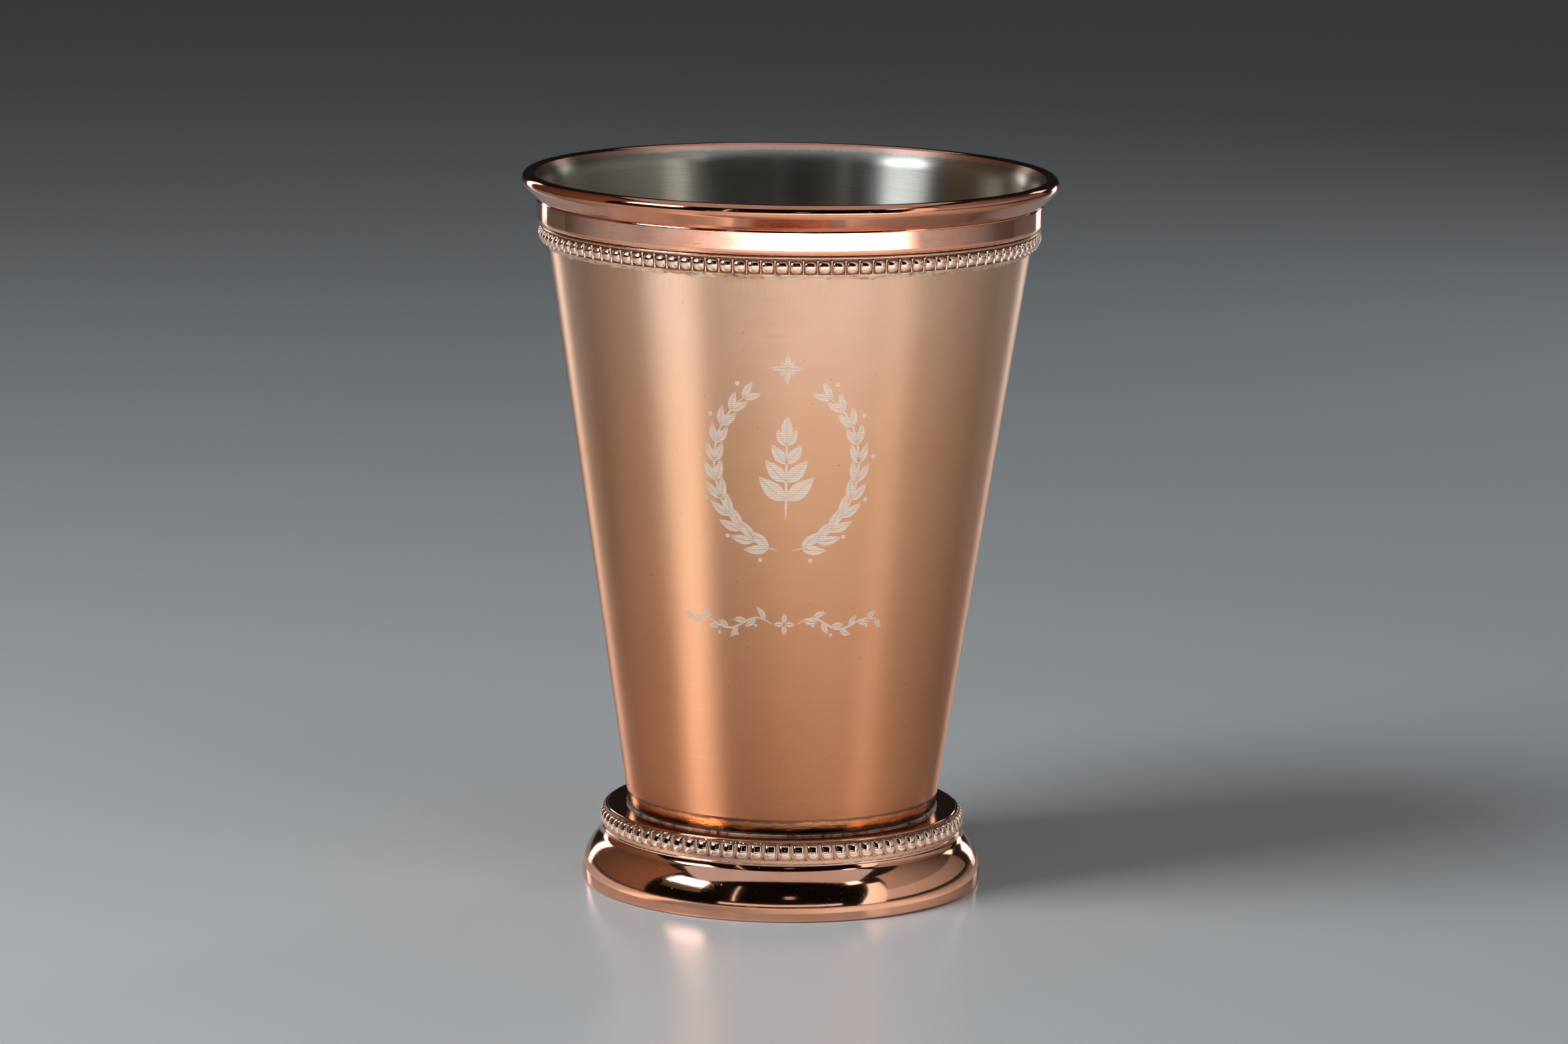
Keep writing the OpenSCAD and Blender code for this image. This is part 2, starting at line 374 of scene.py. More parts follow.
class Bench:
    """Where one material's nodes are made. The shaded point's parts are made when first used."""

    def __init__(self, name: str) -> None:
        """Starts an empty material.

        Args:
            name: the material's name.
        """
        self.material = bpy.data.materials.new(name)
        self.material.use_nodes = True
        self.tree = self.material.node_tree
        self.tree.nodes.clear()

    def node(self, kind: str, settings: dict[str, object] | None = None,
             inputs: dict[str | int, object] | None = None) -> Made:
        """Adds one node.

        Args:
            kind: the node's type.
            settings: its properties, which are set first.
            inputs: values or wires of its sockets, by name or number.

        Returns:
            The node.
        """
        node = self.tree.nodes.new(kind)
        for key, value in (settings or {}).items():
            setattr(node, key, value)
        for key, value in (inputs or {}).items():
            named = [s for s in node.inputs if s.name == key and s.enabled]
            socket = node.inputs[key] if isinstance(key, int) else named[0]
            if isinstance(value, Wire):
                self.tree.links.new(value.socket, socket)
            else:
                socket.default_value = value
        return Made(self, node)

    def vector(self, operation: str, inputs: dict[str | int, object]) -> Wire:
        """Adds a Vector Math node and gives its vector."""
        return self.node("ShaderNodeVectorMath", {"operation": operation}, inputs)["Vector"]

    @cached_property
    def where(self) -> Wire:
        """The shaded point in millimetres of the cup's own frame."""
        here = self.node("ShaderNodeTexCoord")["Object"]
        return self.vector("SCALE", {"Vector": here, "Scale": 1 / MM})

    @cached_property
    def split(self) -> Made:
        """The shaded point taken apart into its X, Y and Z."""
        return self.node("ShaderNodeSeparateXYZ", None, {"Vector": self.where})

    @cached_property
    def radius(self) -> Wire:
        """The shaded point's distance from the axis."""
        across, deep = self.split["X"], self.split["Y"]
        return (across * across + deep * deep) ** 0.5

    @cached_property
    def height(self) -> Wire:
        """The shaded point's height."""
        return self.split["Z"]

    def noise(self, grain: Grain) -> Wire:
        """Gives smooth noise between 0 and 1.

        Args:
            grain: its measures.

        Returns:
            The noise at the shaded point.
        """
        spot = self.vector("MULTIPLY", {0: self.where, 1: (grain.level, grain.level, grain.up)})
        values = {"Vector": spot, "Scale": 1.0, "Detail": grain.detail, "Roughness": grain.rough}
        return self.node("ShaderNodeTexNoise", {"noise_dimensions": "3D"}, values)["Fac"]

    def tint(self, share: Wire | float, first: Wire | Colour, second: Wire | Colour) -> Wire:
        """Mixes two colours.

        Args:
            share: how much of the second colour.
            first: the colour at 0.
            second: the colour at 1.

        Returns:
            The mixed colour.
        """
        ends = {"Factor": share}
        for key, colour in (("A", first), ("B", second)):
            ends[key] = colour if isinstance(colour, Wire) else (*colour, 1.0)
        return self.node("ShaderNodeMix", {"data_type": "RGBA"}, ends)["Result"]

    def bump(self, relief: Wire, depth: float) -> Wire:
        """Turns a relief between 0 and 1, and the depth in millimetres that 1 is, into a normal."""
        return self.node("ShaderNodeBump", None, {"Height": relief, "Distance": depth * MM})["Normal"]

    def close(self, surface: Wire) -> bpy.types.Material:
        """Finishes the material with a surface."""
        self.node("ShaderNodeOutputMaterial", None, {"Surface": surface})
        return self.material

    def metal(self, colour: Wire, rough: Wire, relief: Wire, depth: float,
              brushed: float = 0.0) -> bpy.types.Material:
        """Finishes the material as a metal.

        Args:
            colour: its base colour.
            rough: its roughness.
            relief: the height of its surface, between 0 and 1.
            depth: what a relief of 1 stands for, in millimetres.
            brushed: how far its gloss is drawn out along the axis, from 0 to 1.

        Returns:
            The finished material.
        """
        inputs = {"Base Color": colour, "Roughness": rough, "Normal": self.bump(relief, depth),
                  "Metallic": 1.0, "Anisotropic": brushed,
                  "Anisotropic Rotation": QUARTER_TURN if brushed else 0.0}
        return self.close(self.node("ShaderNodeBsdfPrincipled", None, inputs)["BSDF"])


@dataclass(frozen=True)
class PolishedCopper:
    """Bright copper with a faint haze, fine scratches and dust."""

    name: str = "polished_copper"
    colour: Colour = (0.95, 0.49, 0.33)
    cloudy: Colour = (0.93, 0.43, 0.26)
    dusty: Colour = (0.75, 0.50, 0.38)
    clouds: Grain = Grain(0.12, 0.12)
    waves: Grain = Grain(0.25, 0.35, 1.0)
    level_scratches: Grain = Grain(0.6, 9.0, 2.0, 0.7)
    cross_scratches: Grain = Grain(4.5, 0.9, 3.0, 0.8)
    dust: Grain = Grain(2.6, 2.6, 1.0)
    rough: float = 0.05
    haze: float = 0.06
    dust_rough: float = 0.3
    relief: float = 0.02

    def material(self) -> bpy.types.Material:
        """Makes the finish.

        Returns:
            Its material.
        """
        bench = Bench(self.name)
        cloud = bench.noise(self.clouds)
        wave = bench.noise(self.waves)
        lines = bench.noise(self.level_scratches).step(0.62, 0.74)
        cross = bench.noise(self.cross_scratches).step(0.66, 0.72)
        speck = bench.noise(self.dust).step(0.76, 0.79)
        scratch = lines * 0.6 + cross * 0.7
        colour = bench.tint(cloud.step(0.35, 0.7), self.colour, self.cloudy)
        colour = bench.tint(speck * 0.5, colour, self.dusty)
        rough = self.rough + cloud * self.haze + speck * self.dust_rough + scratch * 0.06
        relief = wave * 0.5 + scratch * 0.05 + speck * 0.1
        return bench.metal(colour, rough, relief, self.relief)


@dataclass(frozen=True)
class BrushedCopper:
    """Copper plating brushed round the cup, with a painted sheen that makes it paler near the rim and a
    painted reflection of the foot's copper that makes it deeper near the foot.
    """

    seam: float
    foot: float
    name: str = "brushed_copper"
    colour: Colour = (0.96, 0.51, 0.29)
    # low is a painted reflection for the lower wall, and high is a painted sheen for the upper wall.
    low: Colour = (0.95, 0.40, 0.20)
    high: Colour = (0.97, 0.61, 0.42)
    light: Colour = (0.99, 0.68, 0.48)
    deep: Colour = (0.88, 0.40, 0.20)
    stain: Colour = (0.50, 0.42, 0.27)
    dark: Colour = (0.40, 0.20, 0.12)
    lines: Grain = Grain(0.10, 14.0, 3.0, 0.65)
    bands: Grain = Grain(0.04, 1.1, 2.0)
    blotches: Grain = Grain(0.09, 0.09)
    drips: Grain = Grain(1.6, 0.10)
    specks: Grain = Grain(1.4, 1.4, 1.0)
    painted_reflection_shares: Pair = (0.67, 0.04)
    painted_sheen_share: float = 0.6
    drip_length: float = 7.0
    edge_width: float = 1.0
    rough: float = 0.40
    smoother: float = 0.10
    brushed: float = 0.97
    relief: float = 0.008

    def level(self, share: float) -> float:
        """Gives the height at a share of the way from the foot to the seam."""
        return self.foot + (self.seam - self.foot) * share

    def material(self) -> bpy.types.Material:
        """Makes the finish.

        Returns:
            Its material.
        """
        bench = Bench(self.name)
        height = bench.height
        fine = bench.noise(self.lines)
        blotch = bench.noise(self.blotches)
        # Painted light: the colour deepens towards the foot as a painted reflection and pales towards the
        # seam as a painted sheen.
        low = height.step(*(self.level(share) for share in self.painted_reflection_shares))
        high = height.step(self.level(self.painted_sheen_share), self.seam)
        colour = bench.tint(high, bench.tint(low, self.colour, self.low), self.high)
        colour = bench.tint(fine.step(0.45, 0.8) * 0.25, colour, self.light)
        colour = bench.tint(blotch.step(0.42, 0.75) * 0.15, colour, self.deep)
        drip = bench.noise(self.drips).step(0.45, 0.75)
        run = height.step(self.seam - self.drip_length, self.seam) * drip * 0.2
        edge = height.step(self.seam - self.edge_width, self.seam - self.edge_width * 0.1) * 0.5
        colour = bench.tint((run + edge).kept(), colour, self.stain)
        colour = bench.tint(bench.noise(self.specks).step(0.77, 0.80) * 0.5, colour, self.dark)
        broad = bench.noise(self.bands)
        smooth = height.step(self.foot, self.seam) * self.smoother
        rough = self.rough + fine * 0.10 + broad * 0.06 + edge * 0.2 - smooth
        return bench.metal(colour, rough, fine * 0.6 + broad * 0.4, self.relief, self.brushed)


@dataclass(frozen=True)
class HeatTintAndPaintedReflection:
    """The polished band above the foot, which the torch has turned brown and orange. Its brown and orange
    also carry a painted reflection of the dark plate, and painted shade lies along its top.
    """

    low: float
    high: float
    name: str = "heat_tint_and_painted_reflection"
    brown_and_painted_reflection: Colour = (0.10, 0.045, 0.02)
    orange: Colour = (0.80, 0.33, 0.13)
    shade: Colour = (0.16, 0.085, 0.075)
    pale: Colour = (0.82, 0.50, 0.34)
    raggedness: Grain = Grain(0.35, 0.5, 3.0, 0.65)
    flecks: Grain = Grain(1.0, 3.0, 3.0, 0.7)
    rough: float = 0.10
    relief: float = 0.03

    def material(self) -> bpy.types.Material:
        """Makes the finish.

        Returns:
            Its material.
        """
        bench = Bench(self.name)
        ragged = bench.noise(self.raggedness)
        fine = bench.noise(self.flecks)
        level = (bench.height - self.low) / (self.high - self.low) + (ragged - 0.5) * 0.4
        # Painted reflection: the brown and orange bands stand in for the plate mirrored in the band. The
        # shade colour is painted shade along its top.
        colour = bench.tint(level.step(0.30, 0.52), self.brown_and_painted_reflection, self.orange)
        colour = bench.tint(level.step(0.76, 0.88) * 0.85, colour, self.shade)
        colour = bench.tint(fine.step(0.55, 0.8) * 0.35, colour, self.pale)
        return bench.metal(colour, self.rough + fine * 0.16, fine, self.relief)


@dataclass(frozen=True)
class BrushedSteel:
    """Bare steel inside the cup, with copper that fades raggedly onto it at the lip."""

    plated: float
    name: str = "brushed_steel"
    colour: Colour = (0.50, 0.475, 0.41)
    dark: Colour = (0.40, 0.375, 0.32)
    copper: Colour = (0.90, 0.57, 0.44)
    lines: Grain = Grain(0.14, 11.0, 4.0, 0.7)
    slants: Grain = Grain(0.9, 5.0, 3.0, 0.7)
    raggedness: Grain = Grain(0.5, 1.0, 4.0, 0.7)
    ragged_by: float = 1.1
    fade: Pair = (-0.35, 0.05)
    rough: float = 0.26
    brushed: float = 0.93
    relief: float = 0.004

    def material(self) -> bpy.types.Material:
        """Makes the finish.

        Returns:
            Its material.
        """
        bench = Bench(self.name)
        fine = bench.noise(self.lines)
        slant = bench.noise(self.slants)
        edge = bench.height - self.plated + (bench.noise(self.raggedness) - 0.5) * self.ragged_by
        colour = bench.tint(fine.step(0.35, 0.7), self.dark, self.colour)
        colour = bench.tint(edge.step(*self.fade), colour, self.copper)
        rough = self.rough + fine * 0.10 + slant.step(0.5, 0.8) * 0.06
        return bench.metal(colour, rough, fine * 0.7 + slant * 0.3, self.relief, self.brushed)


@dataclass(frozen=True)
class BeadCopper:
    """Pale copper beads with painted shade in the valleys between them.

    The beads' ground lies at a radius, at one level, from which its slope leads it out upwards.
    """

    ground: float
    slope: float
    level: float
    name: str = "bead_copper"
    colour: Colour = (0.95, 0.68, 0.55)
    painted_valley_shade: Colour = (0.22, 0.09, 0.05)
    warm: Colour = (0.92, 0.58, 0.42)
    clouds: Grain = Grain(0.5, 0.5)
    pits: Grain = Grain(4.0, 4.0, 3.0, 0.7)
    painted_shade_reach: float = 0.35
    rough: float = 0.07
    relief: float = 0.02

    def material(self) -> bpy.types.Material:
        """Makes the finish.

        Returns:
            Its material.
        """
        bench = Bench(self.name)
        proud = bench.radius - (bench.height - self.level) * self.slope - self.ground
        cloud = bench.noise(self.clouds)
        fine = bench.noise(self.pits)
        # Painted shade: the colour darkens where the surface sinks to the strip's ground between the beads.
        face = (proud + (fine - 0.5) * 0.15).step(0.0, self.painted_shade_reach)
        colour = bench.tint(face, self.painted_valley_shade, self.colour)
        colour = bench.tint(cloud.step(0.5, 0.8) * 0.3, colour, self.warm)
        rough = self.rough + (1 - face) * 0.2 + fine * 0.05
        return bench.metal(colour, rough, fine, self.relief)


@dataclass(frozen=True)
class PearlCopper:
    """Polished pearls on a rough struck ground darkened with painted shade and flecked with painted glints,
    with a plain band under them.
    """

    ground_at: float
    plain_to: float
    name: str = "pearl_copper"
    colour: Colour = (0.95, 0.68, 0.55)
    ground: Colour = (0.30, 0.14, 0.09)
    plain: Colour = (0.80, 0.46, 0.33)
    glint: Colour = (0.90, 0.58, 0.44)
    grains: Grain = Grain(3.2, 3.2)
    pits: Grain = Grain(7.0, 7.0, 2.0, 0.7)
    pearl_rises: Pair = (0.05, 0.12)
    plain_fade: float = 0.25
    rough: float = 0.045
    relief: float = 0.05

    def material(self) -> bpy.types.Material:
        """Makes the finish.

        Returns:
            Its material.
        """
        bench = Bench(self.name)
        grain = bench.noise(self.grains)
        pits = bench.noise(self.pits)
        face = (bench.radius - self.ground_at).step(*self.pearl_rises)
        rest = 1 - face
        plain = bench.height.step(self.plain_to + self.plain_fade, self.plain_to)
        # Painted shade darkens the struck ground round the pearls, and painted glints fleck it; the plain
        # band below stays light.
        colour = bench.tint(face, bench.tint(plain, self.ground, self.plain), self.colour)
        colour = bench.tint(rest * grain.step(0.52, 0.72) * 0.9, colour, self.glint)
        rough = self.rough + rest * 0.16 + pits * 0.03
        return bench.metal(colour, rough, rest * (grain * 0.8 + pits * 0.3), self.relief)


@dataclass(frozen=True)
class Solder:
    """Uneven solder: bright crests, orange flux and green-grey residue."""

    name: str = "solder"
    bright: Colour = (0.92, 0.68, 0.53)
    flux: Colour = (0.72, 0.42, 0.22)
    residue: Colour = (0.22, 0.19, 0.12)
    patches: Grain = Grain(0.22, 0.22)
    crusts: Grain = Grain(0.5, 1.6, 3.0, 0.7)
    grains: Grain = Grain(3.5, 3.5, 4.0, 0.7)
    rough: float = 0.12
    relief: float = 0.10

    def material(self) -> bpy.types.Material:
        """Makes the finish.

        Returns:
            Its material.
        """
        bench = Bench(self.name)
        crust = bench.noise(self.crusts)
        grain = bench.noise(self.grains)
        colour = bench.tint(bench.noise(self.patches).step(0.48, 0.62), self.bright, self.flux)
        colour = bench.tint(crust.step(0.56, 0.68) * 0.85, colour, self.residue)
        rough = self.rough + crust.step(0.4, 0.65) * 0.35 + grain * 0.2
        return bench.metal(colour, rough, grain * 0.6 + crust * 0.5, self.relief)


@dataclass(frozen=True)
class BrazeLine:
    """A thin light ring of painted highlight at the toe of the braze, with painted shade beside it."""

    toe: float
    name: str = "braze_line"
    bright: Colour = (0.75, 0.62, 0.50)
    braze_painted_shade: Colour = (0.06, 0.035, 0.025)
    patches: Grain = Grain(0.5, 0.5, 4.0, 0.7)
    grains: Grain = Grain(4.0, 4.0, 3.0, 0.7)
    fade: Pair = (-0.12, -0.02)
    rough: float = 0.2
    relief: float = 0.08

    def material(self) -> bpy.types.Material:
        """Makes the finish.

        Returns:
            Its material.
        """
        bench = Bench(self.name)
        patch = bench.noise(self.patches)
        grain = bench.noise(self.grains)
        # Painted highlight along the toe, and painted shade over the rest of the fillet.
        edge = (bench.radius - self.toe).step(*self.fade) * patch.step(0.35, 0.5)
        colour = bench.tint(edge, self.braze_painted_shade, self.bright)
        return bench.metal(colour, self.rough + grain * 0.3, grain + patch, self.relief)


@dataclass(frozen=True)
class EngravedCopper:
    """Silvery engraving cut as fine level lines."""

    name: str = "engraved_copper"
    silver: Colour = (0.86, 0.76, 0.68)
    between: Colour = (0.86, 0.62, 0.48)
    grains: Grain = Grain(3.0, 3.0, 3.0, 0.7)
    pitch: float = 0.34
    rough: float = 0.42
    relief: float = 0.02

    def material(self) -> bpy.types.Material:
        """Makes the finish.

        Returns:
            Its material.
        """
        bench = Bench(self.name)
        grain = bench.noise(self.grains)
        wave = bench.height.math("SINE", bench.height * (2 * math.pi / self.pitch))
        line = (wave * 0.5 + 0.5 + (grain - 0.5) * 0.5).step(0.25, 0.75)
        colour = bench.tint(line, self.between, self.silver)
        return bench.metal(colour, self.rough + grain * 0.1, line, self.relief)


@dataclass(frozen=True)
class TableTop:
    """The pale, slightly glossy table."""

    name: str = "table_top"
    colour: Colour = (0.545, 0.585, 0.61)
    worn: Colour = (0.5, 0.5, 0.5)
    clouds: Grain = Grain(0.01, 0.01)
    grains: Grain = Grain(1.5, 1.5)
    rough: float = 0.20
    relief: float = 0.01

    def material(self) -> bpy.types.Material:
        """Makes the finish.

        Returns:
            Its material.
        """
        bench = Bench(self.name)
        grain = bench.noise(self.grains)
        colour = bench.tint(bench.noise(self.clouds) * 0.10, self.colour, self.worn)
        inputs = {"Base Color": colour, "Roughness": self.rough + grain * 0.06,
                  "Normal": bench.bump(grain, self.relief)}
        return bench.close(bench.node("ShaderNodeBsdfPrincipled", None, inputs)["BSDF"])


@dataclass(frozen=True)
class Wall:
    """The tumbler's straight wall and flare, which its mouldings sit on."""

    top: float
    lip_edge: float
    foot: float
    seat: float = 24.3
    lip: float = 1.2
    overhang: float = 3.1
    neck_drop: float = 4.0
    flare: float = math.radians(45)

    @property
    def slope(self) -> float:
        """The wall's growth in radius for each millimetre of height."""
        return (self.lip_edge - self.overhang - self.seat) / (self.top - self.neck_drop - self.foot)

    @property
    def lean(self) -> float:
        """The wall's angle from upright."""
        return math.atan(self.slope)

    @property
    def up(self) -> Vector:
        """The direction up the wall."""
        return flat(math.sin(self.lean), math.cos(self.lean))

    @property
    def out(self) -> Vector:
        """The direction straight out of the wall."""
        return flat(math.cos(self.lean), -math.sin(self.lean))

    @property
    def lip_centre(self) -> Vector:
        """The centre of the rolled lip."""
        return flat(self.lip_edge - self.lip, self.top - self.lip)

    def radius(self, height: float) -> float:
        """Gives the wall's outer radius at a height."""
        return self.seat + self.slope * (height - self.foot)

    def skin(self, height: float, proud: float = 0.0) -> Vector:
        """Gives the point at a height at which a moulding lies on the wall, or stands proud of it."""
        return flat(self.radius(height) + FILM + proud, height)

    def touch(self, side: int) -> Vector:
        """Gives the point where the flare meets the lip, below it for 1 and above it for -1."""
        return self.lip_centre + side * self.lip * flat(math.cos(self.flare), -math.sin(self.flare))

    def flare_foot(self, side: int, inset: float) -> Vector:
        """Gives the point where a flare line meets the wall.

        Args:
            side: 1 for the line below the lip and -1 for the one above it.
            inset: how far the wall lies inside the outer one.

        Returns:
            The meeting point.
        """
        start = self.touch(side)
        level = start.x - self.radius(start.y) + inset
        length = level / (math.sin(self.flare) - self.slope * math.cos(self.flare))
        return start - length * flat(math.sin(self.flare), math.cos(self.flare))


@dataclass
class Tumbler:
    """The drawn tumbler, with its brushed, tinted, polished and steel surfaces."""

    wall: Wall
    base: float
    seam: float
    sheet: float = 0.8
    corner: float = 1.4
    bend: float = 4.0
    band_top: float = 14.65
    plated: float = 111.7
    # The lip and flare get a darker copy of the polished copper: painted shade for the dark room that they
    # mirror.
    lip_painted_shade_colour: Colour = (0.70, 0.31, 0.19)
    lip_painted_shade_cloudy: Colour = (0.64, 0.26, 0.15)
    sides: int = 480

    def corner_centre(self, floor: float, radius: float, inset: float) -> Vector:
        """Gives the centre of the round between a floor and the wall.

        Args:
            floor: the floor's height.
            radius: the round's radius.
            inset: how far the wall lies inside the outer one.

        Returns:
            The centre.
        """
        centre_z = floor + radius
        return flat(self.wall.radius(centre_z) - inset - radius / math.cos(self.wall.lean), centre_z)

    def section(self) -> Section:
        """Draws the sheet from the middle of its underside round to the middle of its floor.

        Returns:
            The outline.
        """
        wall = self.wall
        lean = wall.lean
        brushed, tinted, polished, steel = range(4)
        across = self.sheet / math.cos(lean)
        outer = self.corner_centre(self.base, self.corner, 0)
        inner_round = self.corner - self.sheet / 2
        inner = self.corner_centre(self.base + self.sheet, inner_round, across)
        turn = (wall.flare - lean) / 2
        bend_corner = wall.flare_foot(-1, across)
        bend_low = bend_corner - self.bend * math.tan(turn) * wall.up
        bend_centre = bend_low + self.bend * wall.out
        bend_high = bend_corner + self.bend * math.tan(turn) * ray(UPRIGHT - wall.flare)
        section = Section()
        section.line(flat(0, self.base), tinted)
        section.line(flat(outer.x, self.base), tinted)
        section.arc(outer, self.corner, -UPRIGHT, -lean, tinted)
        section.line(flat(wall.radius(self.band_top), self.band_top), tinted, 2)
        section.line(flat(wall.radius(self.seam), self.seam), brushed, 24)
        section.line(wall.flare_foot(1, 0), polished)
        section.line(wall.touch(1), polished)
        section.arc(wall.lip_centre, wall.lip, -wall.flare, math.pi - wall.flare, polished, 40)
        section.line(bend_high, steel, 3)
        section.arc(bend_centre, self.bend, math.pi - wall.flare, math.pi - lean, steel, 20)
        section.line(inner + inner_round * wall.out, steel, 24)
        section.arc(inner, inner_round, -lean, -UPRIGHT, steel)
        section.line(flat(0, self.base + self.sheet), steel, 6)
        return section

    def build(self) -> bpy.types.Object:
        """Makes the tumbler.

        Returns:
            The piece.
        """
        data = MeshData()
        data.turn(self.section(), self.sides)
        finishes = [
            BrushedCopper(self.seam, self.wall.foot).material(),
            HeatTintAndPaintedReflection(self.wall.foot, self.band_top).material(),
            PolishedCopper("lip_copper_painted_shade", self.lip_painted_shade_colour, self.lip_painted_shade_cloudy).material(),
            BrushedSteel(self.plated).material(),
        ]
        return hand_in(data.build("tumbler", finishes, Crease.TURNED), "plated_tumbler", "tumbler_body")


@dataclass
class Collar:
    """The polished band under the lip."""

    wall: Wall
    low: float
    radius: float
    low_round: float = 0.9
    top_round: float = 0.35
    sides: int = 480

    def section(self) -> Section:
        """Draws the band: its inner side lies on the wall and its top on the flare.

        Returns:
            The outline.
        """
        wall = self.wall
        flare_start = wall.flare_foot(1, 0) + flat(FILM, 0)
        reach = self.radius - (wall.touch(1).x - wall.touch(1).y * math.tan(wall.flare))
        top = reach / math.tan(wall.flare)
        low_centre = flat(self.radius - self.low_round, self.low + self.low_round)
        top_centre = flat(self.radius - self.top_round, top - self.top_round)
        normal = flat(math.cos(wall.flare), -math.sin(wall.flare))
        stop = math.acos(-normal.dot(top_centre - flare_start) / self.top_round) - wall.flare
        section = Section()
        section.line(wall.skin(self.low))
        section.line(flat(low_centre.x, self.low))
        section.arc(low_centre, self.low_round, -UPRIGHT, 0)
        section.line(flat(self.radius, top_centre.y), steps=4)
        section.arc(top_centre, self.top_round, 0, stop)
        section.line(flare_start)
        return section

    def build(self, copper: bpy.types.Material) -> bpy.types.Object:
        """Makes the collar.

        Args:
            copper: its finish.

        Returns:
            The piece.
        """
        data = MeshData()
        data.turn(self.section(), self.sides)
        return hand_in(data.build("collar", [copper], Crease.TURNED), "polished_copper", "rim_collar")


@dataclass
class Bead:
    """Half a barrel, or half a waisted reel, on a strip: round in front and flat behind.

    It stands or lies along the strip. Its depth is a share of its half width, and a fullness
    under 1 squares its sections.
    """

    width: float
    height: float
    end_width: float
    lying: bool = False
    edge: float = 0.07
    steps: int = 8
    sides: int = 20
    depth: float = 1.0
    fullness: float = 1.0

    def half_width(self, rise: float) -> float:
        """Gives the half width at a distance along the axis from the bead's middle.

        Args:
            rise: the distance, below 0 towards the bead's foot.

        Returns:
            The half width before its edges are rounded.
        """
        bulge = (self.width - self.end_width) / 2
        radius = ((self.height / 2) ** 2 + bulge ** 2) / (2 * bulge)
        return self.width / 2 - radius + math.copysign(math.sqrt(radius ** 2 - rise ** 2), radius)

    def soften(self, gap: float) -> float:
        """Gives how far the rounding of an edge draws the surface in at a distance from it."""
        return self.edge - math.sqrt(self.edge ** 2 - (self.edge - min(gap, self.edge)) ** 2)

    def ring(self, rise: float) -> Pair:
        """Gives the half width and the depth at a distance along the axis from the middle."""
        half = max(self.half_width(rise) - self.soften(self.height / 2 - abs(rise)), 0.0)
        return half, half * self.depth

    def stand(self, data: MeshData, angle: float, seat: Vector, lean: float = 0.0) -> None:
        """Adds the bead to a mesh.

        Args:
            data: the mesh.
            angle: where it stands round the cup.
            seat: the middle of its flat back.
            lean: its lean outwards at the top.
        """
        rings: list[list[Point]] = []
        sine, cosine = math.sin(angle), math.cos(angle)
        for i in range(self.steps * 2 + 1):
            rise = -self.height / 2 * math.cos(math.pi * i / (self.steps * 2))
            half, deep = self.ring(rise)
            rings.append([])
            for k in range(self.sides + 1):
                turn = math.pi * (k / self.sides - 0.5)
                out = deep * max(math.cos(turn), 0.0) ** self.fullness
                side = math.copysign(half * abs(math.sin(turn)) ** self.fullness, turn)
                along, up = (-rise, side) if self.lying else (side, rise)
                radius = seat.x + out * math.cos(lean) + up * math.sin(lean)
                level = seat.y - out * math.sin(lean) + up * math.cos(lean)
                rings[-1].append((radius * sine + along * cosine, along * sine - radius * cosine, level))
        data.loft(rings)


@dataclass
class Pearl(Bead):
    """Half a pearl: a ball below, which narrows a little to its flat top.

    It is the deepest at a share of its height.
    """

    belly: float = 0.3

    def half_width(self, rise: float) -> float:
        """Gives the half width at a distance above the pearl's middle.

        Args:
            rise: the distance, below 0 under the middle.

        Returns:
            The half width before its top edge is rounded.
        """
        ball = self.width / 2
        past = rise + self.height / 2 - ball
        if past < 0:
            return math.sqrt(max(ball ** 2 - past ** 2, 0.0))
        bulge = (self.width - self.end_width) / 2
        radius = ((self.height - ball) ** 2 + bulge ** 2) / (2 * bulge)
        return ball - radius + math.sqrt(radius ** 2 - past ** 2)

    def ring(self, rise: float) -> Pair:
        """Gives the half width and the depth at a distance above the pearl's middle.

        Args:
            rise: the distance, below 0 under the middle.

        Returns:
            The half width and the depth.
        """
        half = max(self.half_width(rise) - self.soften(self.height / 2 - rise), 0.0)
        share = rise / self.height + 0.5 - self.belly
        reach = 1 - self.belly if share > 0 else self.belly
        return half, self.depth * self.width / 2 * math.sqrt(max(1 - (share / reach) ** 2, 0.0))


